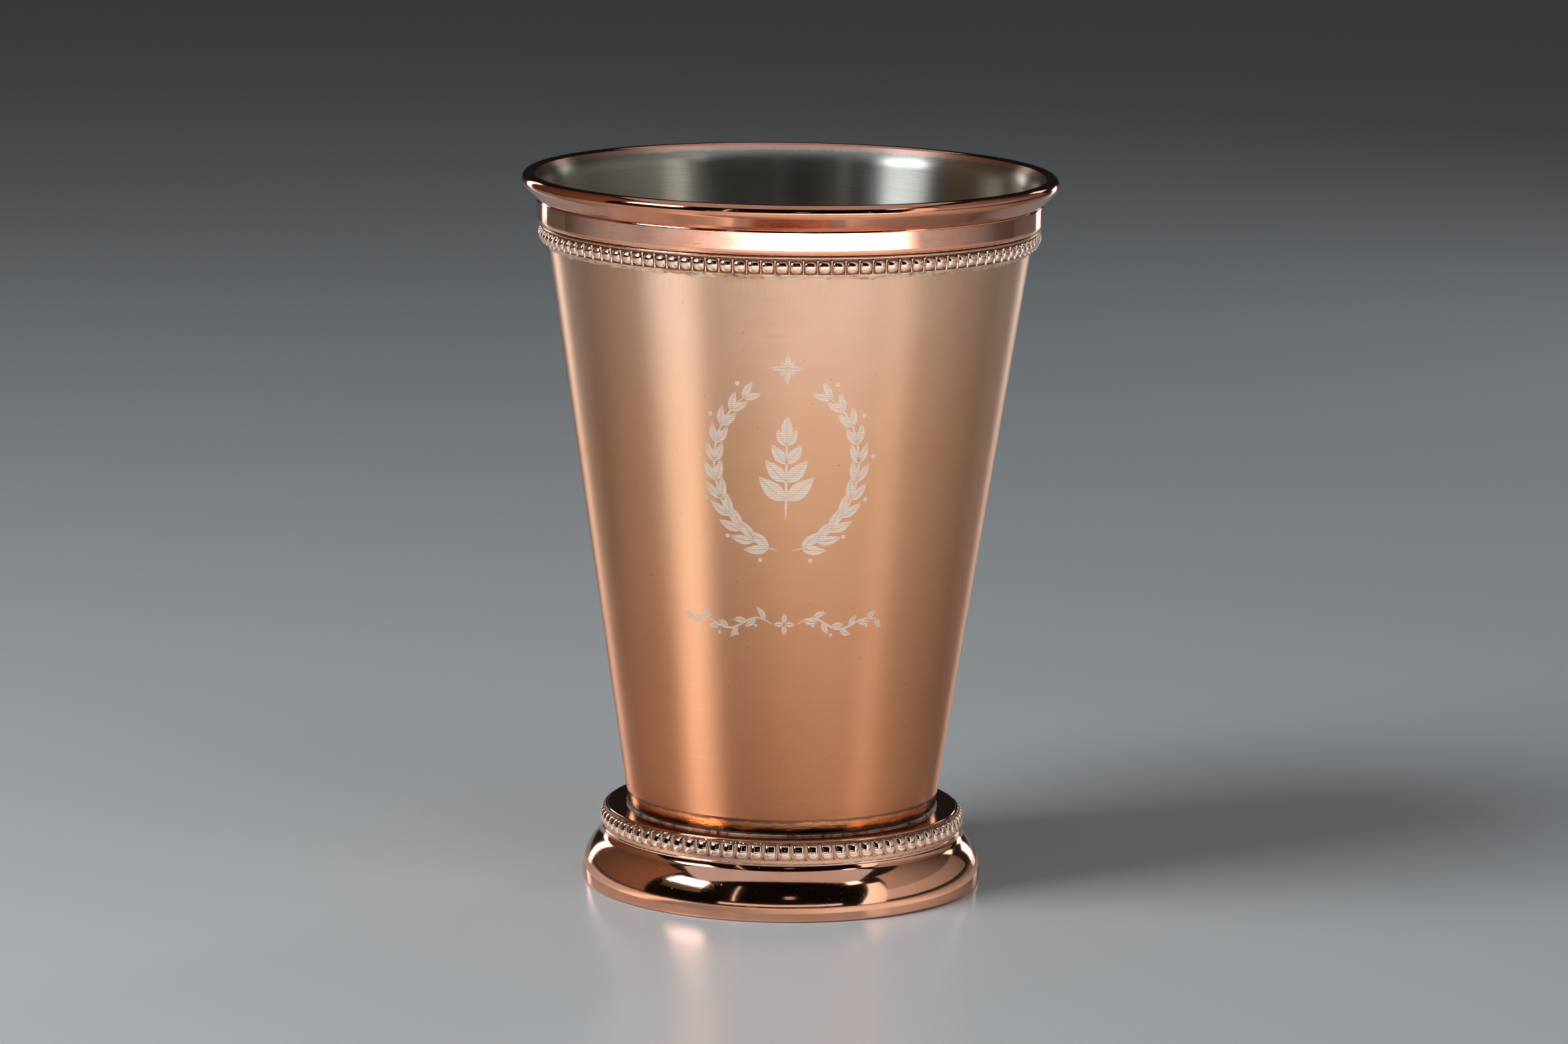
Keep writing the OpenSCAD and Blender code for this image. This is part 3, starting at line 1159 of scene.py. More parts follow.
@dataclass
class BeadedWire:
    """The leaning strip of barrel beads under the collar, with a fine ridge over them.

    The barrels lie along the strip, and a thin reel with a small ball at its top parts them.
    """

    wall: Wall
    low: float
    high: float
    thick: float = 0.6
    ridge: float = 0.22
    pitch: float = 2.165
    seat_share: float = 0.17
    lift: float = 0.08
    reel_base: float = 0.45
    ball_rise: float = 0.9
    bead: Bead = field(default_factory=lambda: Bead(2.3, 1.76, 1.9, True, 0.22, 7, 24))
    reel: Bead = field(default_factory=lambda: Bead(0.24, 2.2, 0.36, False, 0.03, 4, 8, 2.8))
    ball: Bead = field(default_factory=lambda: Bead(0.5, 0.5, 0.16, False, 0.05, 4, 10, 1.8))
    sides: int = 720

    def section(self) -> Section:
        """Draws the strip and its ridge.

        Returns:
            The outline.
        """
        wall = self.wall
        centre = wall.skin(self.high, self.thick) - flat(0, self.ridge)
        start = -UPRIGHT - 2 * wall.lean
        section = Section(guard=0.05)
        section.line(wall.skin(self.low))
        section.line(wall.skin(self.low, self.thick))
        section.line(centre + self.ridge * ray(start), steps=6)
        section.arc(centre, self.ridge, start, UPRIGHT, steps=14)
        section.line(wall.skin(self.high))
        return section

    def build(self) -> bpy.types.Object:
        """Makes the strip with its beads.

        Returns:
            The piece.
        """
        wall = self.wall
        level = self.low + self.lift + self.bead.width / 2
        seat = wall.skin(level, self.thick * self.seat_share)
        reel_seat = seat + flat(self.reel_base, 0)
        count = round(2 * math.pi * (seat.x + self.bead.width / 2) / self.pitch)
        data = MeshData()
        data.turn(self.section(), self.sides)
        for i in range(count):
            angle = UPRIGHT + 2 * math.pi * i / count
            between = angle + math.pi / count
            self.bead.stand(data, angle, seat, wall.lean)
            self.reel.stand(data, between, reel_seat, wall.lean)
            self.ball.stand(data, between, reel_seat + self.ball_rise * wall.up, wall.lean)
        copper = BeadCopper(wall.skin(level, self.thick).x, wall.slope, level).material()
        return hand_in(data.build("beaded_wire", [copper], Crease.BEADED), "rim_beads", "rim_bead_wire")


@dataclass
class SolderSeam:
    """The uneven line of solder under the beaded wire.

    Each of its swell shares is a share of its thickness at a share of its height.
    """

    wall: Wall
    low: float
    high: float
    thick: float = 0.4
    swell_shares: tuple[Pair, ...] = ((0.33, 0.33), (0.62, 0.5), (0.85, 0.72), (1.0, 0.92))
    top_share: float = 0.9
    spread: float = 0.35
    runs: Pair = (0.45, 1.6)
    fine_run: float = 0.5
    swells: float = 1.1
    swell_start: Point = (7, 3, 1)
    swell_ends: Pair = (0.55, 1.15)
    sides: int = 900

    def section(self) -> Section:
        """Draws the seam.

        Returns:
            The outline.
        """
        section = Section(guard=0.04)
        section.line(self.wall.skin(self.low))
        for share, lift in self.swell_shares:
            level = self.low + (self.high - self.low) * lift
            section.line(self.wall.skin(level, self.thick * share))
        section.line(self.wall.skin(self.high, self.thick * self.top_share))
        section.line(self.wall.skin(self.high))
        return section

    def sag(self, angle: float, radius: float, level: float) -> Pair:
        """Lets the solder run unevenly: the lower it lies, the further it moves.

        Args:
            angle: where the point is round the cup.
            radius: its radius.
            level: its height.

        Returns:
            Its new radius and height.
        """
        spot = Vector(around(angle, radius, level))
        drop = (self.high - level) / (self.high - self.low)
        broad, fine = (noise.noise(spot * run) for run in self.runs)
        swell = 0.5 + noise.noise(spot * self.swells + Vector(self.swell_start)) / 2
        proud = radius - self.wall.skin(level).x
        moved = level - drop * self.spread * (broad + self.fine_run * fine)
        return tuple(self.wall.skin(moved, proud * between(self.swell_ends, swell)))

    def build(self) -> bpy.types.Object:
        """Makes the seam.

        Returns:
            The piece.
        """
        data = MeshData()
        data.turn(self.section(), self.sides, self.sag)
        piece = data.build("solder_seam", [Solder().material()], Crease.BEADED)
        return hand_in(piece, "solder", "rim_solder_seam")


@dataclass
class Foot:
    """The stamped hollow foot."""

    wall: Wall
    edge: float
    plate_r: float = 27.7
    sheet: float = 1.2
    plate_round: float = 0.25
    strip_height: float = 3.65
    ledge: float = 0.7
    ledge_lift: float = 0.2
    hollow: float = 1.65
    toe_height: float = 1.3
    toe: float = 0.4
    sides: int = 480

    def section(self) -> Section:
        """Draws the shell, from the hole in its plate down inside, round its edge and up outside.

        Returns:
            The outline.
        """
        wall = self.wall
        top = wall.foot
        plate_low = top - self.sheet
        ledge_z = top - self.plate_round - self.strip_height
        hollow_r = self.plate_r + self.ledge + self.hollow
        hollow_centre = flat(hollow_r, ledge_z + self.hollow * self.ledge_lift)
        inward = hollow_centre.x - self.edge
        rise = hollow_centre.y - self.toe_height
        swell = (inward ** 2 + rise ** 2 - self.hollow ** 2) / (2 * (self.hollow - inward))
        swell_centre = flat(self.edge - swell, self.toe_height)
        join = math.atan2(rise, hollow_centre.x - swell_centre.x)
        inner_r = self.plate_r - self.sheet
        inner_turn = math.acos((inner_r - swell_centre.x) / (swell - self.sheet))
        plate_centre = flat(self.plate_r - self.plate_round, top - self.plate_round)
        ledge_turn = math.pi + math.asin(self.ledge_lift)
        section = Section()
        section.line(wall.skin(plate_low))
        section.line(flat(inner_r, plate_low))
        section.arc(swell_centre, swell - self.sheet, inner_turn, 0, steps=24)
        section.line(flat(self.edge - self.sheet, 0))
        section.line(flat(self.edge - self.toe, 0))
        section.arc(flat(self.edge - self.toe, self.toe), self.toe, -UPRIGHT, 0)
        section.arc(swell_centre, swell, 0, join, steps=48)
        section.arc(hollow_centre, self.hollow, math.pi + join, ledge_turn, steps=20)
        section.line(flat(self.plate_r, ledge_z))
        section.line(flat(self.plate_r, plate_centre.y))
        section.arc(plate_centre, self.plate_round, 0, UPRIGHT, steps=8)
        section.line(wall.skin(top), steps=2)
        return section

    def build(self, copper: bpy.types.Material) -> bpy.types.Object:
        """Makes the foot.

        Args:
            copper: its finish.

        Returns:
            The piece.
        """
        data = MeshData()
        data.turn(self.section(), self.sides)
        return hand_in(data.build("foot", [copper], Crease.TURNED), "foot_copper", "foot_shell")


@dataclass
class PearlStrip:
    """The strip of pearls in low frames, on a rough struck ground, round the drum of the foot."""

    low: float
    high: float
    drum: float
    thick: float = 0.5
    ridge: float = 0.2
    pitch: float = 2.235
    drop: float = 0.3
    pearl: Pearl = field(default_factory=lambda: Pearl(1.84, 2.4, 1.4, False, 0.12, 8, 22, 0.765, 0.8))
    sunk: float = 0.06
    frame_gap: float = 0.07
    frame_half: float = 0.10
    frame_rise: float = 0.14
    frame_sunk: float = 0.03
    frame_steps: tuple[int, int] = (4, 16)
    frame_sides: int = 6
    rough_depth: float = 0.16
    rough_sunk: float = 0.05
    rough_reach: float = 0.66
    rough_skin: float = 0.35
    rough_grains: Pair = (2.6, 5.5)
    rough_fine: float = 0.7
    sides: int = 1620

    @property
    def face(self) -> float:
        """The radius of the strip's face."""
        return self.drum + FILM + self.thick

    @property
    def top(self) -> float:
        """The height of the pearls' tops."""
        return self.high - self.drop

    @property
    def foot(self) -> float:
        """The height of the pearls' lowest points."""
        return self.top - self.pearl.height

    def struck(self, angle: float, radius: float, level: float) -> Pair:
        """Roughens the face near the tops of the pearls.

        Args:
            angle: where the point is round the cup.
            radius: its radius.
            level: its height.

        Returns:
            Its new radius and height.
        """
        near = max(0.0, 1 - abs(level - self.top) / self.rough_reach)
        if radius < self.face - self.rough_skin or near == 0.0:
            return radius, level
        spot = Vector(around(angle, self.face, level))
        coarse, fine = (noise.noise(spot * grain) for grain in self.rough_grains)
        relief = coarse + self.rough_fine * fine
        return radius + near * (self.rough_depth * relief - self.rough_sunk), level

    def section(self) -> Section:
        """Draws the strip with its lower ridge and its bevelled top.

        Returns:
            The outline.
        """
        bevel = self.thick / 2
        back = self.drum + FILM
        section = Section(guard=0.04)
        section.line(flat(back, self.low))
        section.line(flat(self.face, self.low))
        section.arc(flat(self.face, self.low + self.ridge), self.ridge, -UPRIGHT, UPRIGHT, steps=12)
        section.line(flat(self.face, (self.top + self.foot) / 2), steps=3)
        section.line(flat(self.face, self.high - bevel), steps=10)
        section.line(flat(self.face - bevel, self.high), steps=3)
        section.line(flat(back, self.high))
        return section

    def frame_path(self) -> list[tuple[Vector, float]]:
        """Walks a pearl's frame, down its left leg, round its foot and up its right leg.

        Returns:
            Each point, as distance to the right and height, with the direction outwards there.
        """
        half = self.pearl.width / 2 + self.frame_gap
        middle = self.foot + self.pearl.width / 2
        leg, bow = self.frame_steps
        rises = [(self.top - middle) * i / leg for i in range(1, leg + 1)]
        turns = [math.pi * (1 + i / bow) for i in range(bow + 1)]
        path = [(flat(-half, middle + rise), math.pi) for rise in reversed(rises)]
        path += [(flat(0, middle) + half * ray(turn), turn) for turn in turns]
        return path + [(flat(half, middle + rise), 2 * math.pi) for rise in rises]

    def add_frame(self, data: MeshData, angle: float) -> None:
        """Adds the U-shaped frame of one pearl.

        Args:
            data: the mesh.
            angle: where the pearl stands round the cup.
        """
        rings: list[list[Point]] = []
        for place, outwards in self.frame_path():
            rings.append([])
            for k in range(self.frame_sides + 1):
                turn = math.pi * k / self.frame_sides
                spot = place - self.frame_half * math.cos(turn) * ray(outwards)
                proud = self.frame_rise * math.sin(turn) - self.frame_sunk
                rings[-1].append(around(angle + spot.x / self.face, self.face + proud, spot.y))
        data.loft(rings)

    def build(self) -> bpy.types.Object:
        """Makes the strip with its pearls and frames.

        Returns:
            The piece.
        """
        ring = self.face - self.thick / 2
        count = round(2 * math.pi * (ring + self.pearl.width / 2) / self.pitch)
        seat = flat(self.face - self.sunk, (self.top + self.foot) / 2)
        data = MeshData()
        data.turn(self.section(), self.sides, self.struck)
        for i in range(count):
            angle = UPRIGHT + 2 * math.pi * i / count
            self.pearl.stand(data, angle, seat)
            self.add_frame(data, angle)
        copper = PearlCopper(self.face, self.foot - self.frame_gap - self.frame_half).material()
        return hand_in(data.build("pearl_strip", [copper], Crease.BEADED), "foot_pearls", "foot_pearl_strip")


@dataclass
class BrazeRing:
    """The small hollow fillet of braze between the tumbler and the foot."""

    wall: Wall
    low: float
    leg: float = 0.5
    hollow_share: float = 0.8
    hollow_turns: Pair = (math.radians(248), math.radians(202))
    unevenness: float = 0.48
    creeps: float = 0.7
    sides: int = 720

    @property
    def toe(self) -> Vector:
        """The point where the fillet runs out on the plate."""
        return self.wall.skin(self.low, self.leg * (1 - self.hollow_share / 2))

    def creep(self, angle: float, radius: float, level: float) -> Pair:
        """Lets the braze creep unevenly over the plate.

        Args:
            angle: where the point is round the cup.
            radius: its radius.
            level: its height.

        Returns:
            Its new radius and height.
        """
        grown = 1 + self.unevenness * noise.noise(Vector(around(angle, radius, level)) * self.creeps)
        return tuple(self.wall.skin(level, (radius - self.wall.skin(level).x) * grown))

    def build(self) -> bpy.types.Object:
        """Makes the ring.

        Returns:
            The piece.
        """
        top = self.low + self.leg
        centre = flat(self.wall.skin(self.low, self.leg).x, top)
        section = Section(guard=0.03)
        section.line(self.wall.skin(self.low))
        section.line(self.toe)
        section.arc(centre, self.leg * self.hollow_share, *self.hollow_turns, steps=8)
        section.line(self.wall.skin(top))
        data = MeshData()
        data.turn(section, self.sides, self.creep)
        piece = data.build("braze_ring", [BrazeLine(self.toe.x).material()], Crease.BEADED)
        return hand_in(piece, "braze", "foot_braze_fillet")


@dataclass(frozen=True)
class Leafing:
    """How the leaves of a stem grow.

    Each pair is a value at the stem's start and one at its end. The leans from the stem and the
    curl of the tips back towards it are in radians.
    """

    lengths: Pair
    widths: Pair
    leans: Pair
    curl: float


@dataclass
class Ornament:
    """A wreath round a sprig, a star over it and a vine under it, engraved in the front.

    Places are distances to the right of the middle and heights, and lengths lie along the wall.
    """

    wall: Wall
    middle: float = 71.5
    proud: float = 0.014
    buried: float = 0.05
    vein: float = 0.10
    vein_share: float = 0.4
    leaf_rise: float = 0.8
    leaf_tip: float = 0.02
    berry_tip: float = 0.01
    line_tip: float = 0.25
    parts: int = 12
    branch: float = 0.34
    half_width: float = 11.2
    half_height: float = 13.2
    wreath_turns: Pair = (math.radians(6), math.radians(150))
    wreath_leaves: int = 11
    wreath_leafing: Leafing = Leafing((4.3, 3.0), (1.548, 1.08), (0.55, 0.55), 0.35)
    wreath_berry: float = 0.34
    wreath_berry_gap: float = 2.3
    wreath_berry_turn: float = 0.07
    sprig_shares: Pair = (-0.62, 0.36)
    sprig_stem: float = 0.42
    sprig_pairs: int = 4
    sprig_span: Pair = (0.24, 0.90)
    sprig_leafing: Leafing = Leafing((5.6, 3.05), (2.576, 1.403), (1.02, 0.66), 0.3)
    sprig_tip: float = 3.4
    star_lift: float = 2.4
    star_rays: Pair = (2.5, 1.35)
    star_width: float = 0.7
    star_hole: float = 0.2
    vine_level: float = 46.5
    vine_ends: Pair = (2.2, 17.5)
    vine_waves: Pair = (1.1, 0.6)
    vine_leaves: int = 9
    vine_leafing: Leafing = Leafing((2.7, 1.9), (0.95, 0.95), (0.8, 0.8), 0.6)
    vine_berry: float = 0.26
    vine_berry_gap: float = 1.25
    diamond: Pair = (1.7, 0.9)
    diamond_hole: float = 0.15
    data: MeshData = field(default_factory=MeshData)

    def lay(self, place: Vector, proud: float) -> Point:
        """Lays a place on the wall, or so far out of it as proud says."""
        return around(place.x / self.wall.radius(self.middle), self.wall.radius(place.y) + proud, place.y)

    def stroke(self, path: list[Vector], left: list[float], right: list[float]) -> None:
        """Adds one closed plate that follows the wall.

        Args:
            path: the places of its line.
            left: the offset of its left edge from the line at each place.
            right: the offset of its right edge.
        """
        rings: list[list[Point]] = []
        for i, spot in enumerate(path):
            ahead = path[min(i + 1, len(path) - 1)] - path[max(i - 1, 0)]
            side = flat(-ahead.y, ahead.x).normalized()
            places = [spot + side * offset for offset in (left[i], (left[i] + right[i]) / 2, right[i])]
            rings.append([self.lay(place, self.proud) for place in places])
            rings[-1] += [self.lay(place, -self.buried) for place in reversed(places)]
        self.data.loft(rings)

    def line(self, path: list[Vector], width: float) -> None:
        """Adds a line that thins out towards both ends.

        Args:
            path: the places that it runs through.
            width: its width at its middle.
        """
        last = len(path) - 1
        swells = [math.sin(math.pi * i / last) ** 0.5 for i in range(last + 1)]
        halves = [width / 2 * between((self.line_tip, 1.0), swell) for swell in swells]
        self.stroke(path, halves, [-half for half in halves])

    def leaf(self, root: Vector, heading: float, length: float, width: float, curl: float = 0.0) -> None:
        """Adds a leaf: two halves with a bare vein between them.

        Args:
            root: where it starts.
            heading: its direction in radians, from the right towards the top.
            length: its length.
            width: its width.
            curl: how far its tip turns from the heading, in radians.
        """
        steps = self.parts
        path = [root.copy()]
        for i in range(steps):
            path.append(path[-1] + ray(heading + curl * (i + 0.5) / steps) * (length / steps))
        turns = [math.pi * (i / steps) ** self.leaf_rise for i in range(steps + 1)]
        swell = [max(width / 2 * math.sin(turn), self.leaf_tip) for turn in turns]
        gap = [min(self.vein / 2, half * self.vein_share) for half in swell]
        self.stroke(path, swell, gap)
        self.stroke(path, [-half for half in gap], [-half for half in swell])

    def grow(self, root: Vector, stem: Vector, side: int, share: float, leafing: Leafing) -> None:
        """Adds a leaf to one side of a stem.

        Args:
            root: where it starts.
            stem: the stem's direction there.
            side: 1 for the stem's left side and -1 for its right one.
            share: the root's share of the way along the stem.
            leafing: how the stem's leaves grow.
        """
        heading = math.atan2(stem.y, stem.x) + side * between(leafing.leans, share)
        length, width = between(leafing.lengths, share), between(leafing.widths, share)
        self.leaf(root, heading, length, width, -side * leafing.curl)

    def dot(self, centre: Vector, radius: float) -> None:
        """Adds a round berry.

        Args:
            centre: its centre.
            radius: its radius.
        """
        turns = [math.pi * i / self.parts for i in range(self.parts + 1)]
        halves = [max(radius * math.sin(turn), self.berry_tip) for turn in turns]
        path = [centre + flat(0, radius * math.cos(turn)) for turn in turns]
        self.stroke(path, halves, [-half for half in halves])

    def on_branch(self, side: int, turn: float) -> Vector:
        """Gives a place on a branch of the wreath.

        Args:
            side: 1 for the right branch and -1 for the left one.
            turn: the place's angle from the foot of the wreath, in radians.

        Returns:
            The place.
        """
        across = side * self.half_width * math.sin(turn)
        return flat(across, self.middle - self.half_height * math.cos(turn))

    def wreath(self) -> None:
        """Adds two branches with leaves on both sides and berries beyond the outer ones."""
        for side in (-1, 1):
            turns = [between(self.wreath_turns, i / 40) for i in range(41)]
            self.line([self.on_branch(side, turn) for turn in turns], self.branch)
            for i in range(self.wreath_leaves):
                share = (i + 0.6) / self.wreath_leaves
                turn = between(self.wreath_turns, share)
                root = self.on_branch(side, turn)
                stem = self.on_branch(side, turn + 0.02) - root
                for hand in (-1, 1):
                    self.grow(root, stem, hand, share, self.wreath_leafing)
                if i % 2 == 0:
                    outwards = flat(-stem.y, stem.x).normalized() * -side
                    beside = self.on_branch(side, turn + self.wreath_berry_turn)
                    self.dot(beside + outwards * self.wreath_berry_gap, self.wreath_berry)

    def sprig(self) -> None:
        """Adds the sprig inside the wreath."""
        foot, tip = (flat(0, self.middle + self.half_height * share) for share in self.sprig_shares)
        self.line([foot.lerp(tip, i / 20) for i in range(21)], self.sprig_stem)
        for i in range(self.sprig_pairs):
            share = i / (self.sprig_pairs - 1)
            root = foot.lerp(tip, between(self.sprig_span, share))
            for hand in (1, -1):
                self.grow(root, flat(0, 1), hand, share, self.sprig_leafing)
        self.leaf(tip, UPRIGHT, self.sprig_tip, self.sprig_tip / 2)

    def star(self) -> None:
        """Adds a star of eight narrow rays over the wreath's opening."""
        centre = flat(0, self.middle + self.half_height + self.star_lift)
        for i in range(8):
            turn = UPRIGHT + math.pi * i / 4
            self.leaf(centre + self.star_hole * ray(turn), turn, self.star_rays[i % 2], self.star_width)

    def on_vine(self, side: int, share: float) -> Vector:
        """Gives a place on the vine.

        Args:
            side: 1 for its right half and -1 for its left one.
            share: the place's share of the half's length, from the middle.

        Returns:
            The place.
        """
        wave = math.sin(share * math.pi * 3) * between(self.vine_waves, share)
        return flat(side * between(self.vine_ends, share), self.vine_level + wave)

    def vine(self) -> None:
        """Adds the vine under the wreath, with a diamond at its middle."""
        for side in (-1, 1):
            self.line([self.on_vine(side, i / 48) for i in range(49)], self.branch)
            for i in range(self.vine_leaves):
                share = (i + 0.7) / (self.vine_leaves + 0.4)
                root = self.on_vine(side, share)
                stem = self.on_vine(side, share + 0.01) - root
                self.grow(root, stem, 1 if i % 2 else -1, share, self.vine_leafing)
                if i % 2:
                    self.dot(root - flat(0, self.vine_berry_gap), self.vine_berry)
        for i in range(4):
            turn = UPRIGHT * i
            self.leaf(flat(0, self.vine_level) + self.diamond_hole * ray(turn), turn, *self.diamond)

    def build(self) -> bpy.types.Object:
        """Makes the engraving.

        Returns:
            The piece.
        """
        self.wreath()
        self.sprig()
        self.star()
        self.vine()
        piece = self.data.build("engraving", [EngravedCopper().material()], Crease.BEADED)
        return hand_in(piece, "plated_tumbler")


LIGHT_TONE: Colour = (1.0, 0.98, 0.95)
WARM_TONE: Colour = (1.0, 0.64, 0.44)
COOL_TONE: Colour = (1.0, 1.08, 1.22)
WHITE_TONE: Colour = (1.0, 1.12, 1.22)
TABLE_SIDES = (-120, 120)
Levels = tuple[Pair, ...]


@dataclass(frozen=True)
class Card:
    """A card of the studio that only gloss sees: a patch of a great ball round the cup.

    Its sides may lean: the first azimuths are those of its lower edge and the last those of its
    upper edge. Its strengths follow one another from its left to its right, each at its share of
    the way.
    """

    name: str
    low_azimuth: Pair
    high_azimuth: Pair
    elevation: Pair
    strengths: Levels
    distance: float = 900.0
    soft: float = 0.0
    tone: Colour = LIGHT_TONE
    middle: float = 60.0
    steps: int = 24

    def azimuth(self, along: float, up: float) -> float:
        """Gives the azimuth of a point of the card.

        Args:
            along: the point's share of the way from the left side to the right one.
            up: its share of the way from the lower edge to the upper one.

        Returns:
            The azimuth in degrees.
        """
        first, last = (between(side, up) for side in zip(self.low_azimuth, self.high_azimuth))
        return first + (last - first) * along

    def place(self, along: float, up: float) -> Point:
        """Gives the place of a point of the card.

        Args:
            along: the point's share of the way to the right.
            up: its share of the way upwards.

        Returns:
            The place in millimetres.
        """
        lift = math.radians(between(self.elevation, up))
        level, height = self.distance * math.cos(lift), self.distance * math.sin(lift)
        return around(math.radians(self.azimuth(along, up)), level, self.middle + height)

    def light(self, along: float, up: float) -> tuple[float, float, float, float]:
        """Gives the light at a point of the card, which fades out at its soft edges.

        Args:
            along: the point's share of the way to the right.
            up: its share of the way upwards.

        Returns:
            The light's colour, with an opacity of 1.
        """
        strength = self.strengths[0][1]
        for (a, low), (b, high) in zip(self.strengths, self.strengths[1:]):
            if along >= a:
                strength = low + (high - low) * min((along - a) / (b - a), 1.0)
        if self.soft:
            strength *= min(1.0, up / self.soft, (1 - up) / self.soft)
        return (*(part * strength for part in self.tone), 1.0)

    def hang(self, glow: bpy.types.Material) -> bpy.types.Object:
        """Makes the card.

        Args:
            glow: the material that shines with the card's own colours.

        Returns:
            The card's object.
        """
        shares = [i / self.steps for i in range(self.steps + 1)]
        spots = [(along, up) for up in shares for along in shares]
        row = self.steps + 1
        corners = [i * row + k for i in range(self.steps) for k in range(self.steps)]
        faces = [(c, c + 1, c + row + 1, c + row) for c in corners]
        mesh = bpy.data.meshes.new(self.name)
        mesh.from_pydata([tuple(c * MM for c in self.place(*spot)) for spot in spots], [], faces)
        light = mesh.attributes.new("light", "FLOAT_COLOR", "POINT")
        for item, spot in zip(light.data, spots):
            item.color = self.light(*spot)
        mesh.materials.append(glow)
        card = bpy.data.objects.new(self.name, mesh)
        bpy.context.scene.collection.objects.link(card)
        for ray in ("camera", "diffuse", "transmission", "volume_scatter", "shadow"):
            setattr(card, f"visible_{ray}", False)
        return card


@dataclass(frozen=True)
class Ceiling(Card):
    """A flat level card over the cup, whose distance is its height over the cup's middle.

    Its azimuths are distances to the right of the cup, at its front edge and at its back one, and
    its elevations are distances behind it.
    """

    def place(self, along: float, up: float) -> Point:
        """Gives the place of a point of the card from its shares to the right and backwards."""
        return self.azimuth(along, up), between(self.elevation, up), self.middle + self.distance


@dataclass(frozen=True)
class TableGlow(Card):
    """A card just over the table, whose elevations are distances from the cup's axis."""

    def place(self, along: float, up: float) -> Point:
        """Gives the place of a point of the card from its shares to the right and outwards."""
        return around(math.radians(self.azimuth(along, up)), between(self.elevation, up), self.distance)


@dataclass(frozen=True)
class Lamp:
    """A soft area lamp that lights the table and what is matt, and that gloss doesn't see."""

    name: str
    azimuth: float
    elevation: float
    distance: float
    size: Pair
    radiance: float
    spread: float = 180.0
    middle: float = 50.0

    def hang(self) -> bpy.types.Object:
        """Makes the lamp and turns it towards the cup's middle.

        Returns:
            The lamp's object.
        """
        light = bpy.data.lights.new(self.name, "AREA")
        light.shape = "RECTANGLE"
        light.size = self.size[0] * MM
        light.size_y = self.size[1] * MM
        light.spread = math.radians(self.spread)
        light.energy = self.radiance * math.pi * light.size * light.size_y
        lamp = bpy.data.objects.new(self.name, light)
        bpy.context.scene.collection.objects.link(lamp)
        lift = math.radians(self.elevation)
        level, height = self.distance * math.cos(lift), self.distance * math.sin(lift)
        place = Vector(around(math.radians(self.azimuth), level, self.middle + height)) * MM
        aim = Vector((0, 0, self.middle * MM)) - place
        lamp.matrix_world = Matrix.Translation(place) @ aim.to_track_quat("-Z", "Y").to_matrix().to_4x4()
        lamp.visible_glossy = False
        lamp.visible_camera = False
        return lamp


def even(strength: float) -> Levels:
    """Gives the strengths of an evenly lit card."""
    return ((0.0, strength),)


def graded(first: float, last: float) -> Levels:
    """Gives the strengths of a card whose light changes evenly from its left to its right."""
    return (0.0, first), (1.0, last)


def by_azimuth(*levels: Pair) -> Levels:
    """Turns strengths at azimuths between the table's sides into strengths at shares."""
    first, last = TABLE_SIDES
    return tuple(((azimuth - first) / (last - first), strength) for azimuth, strength in levels)


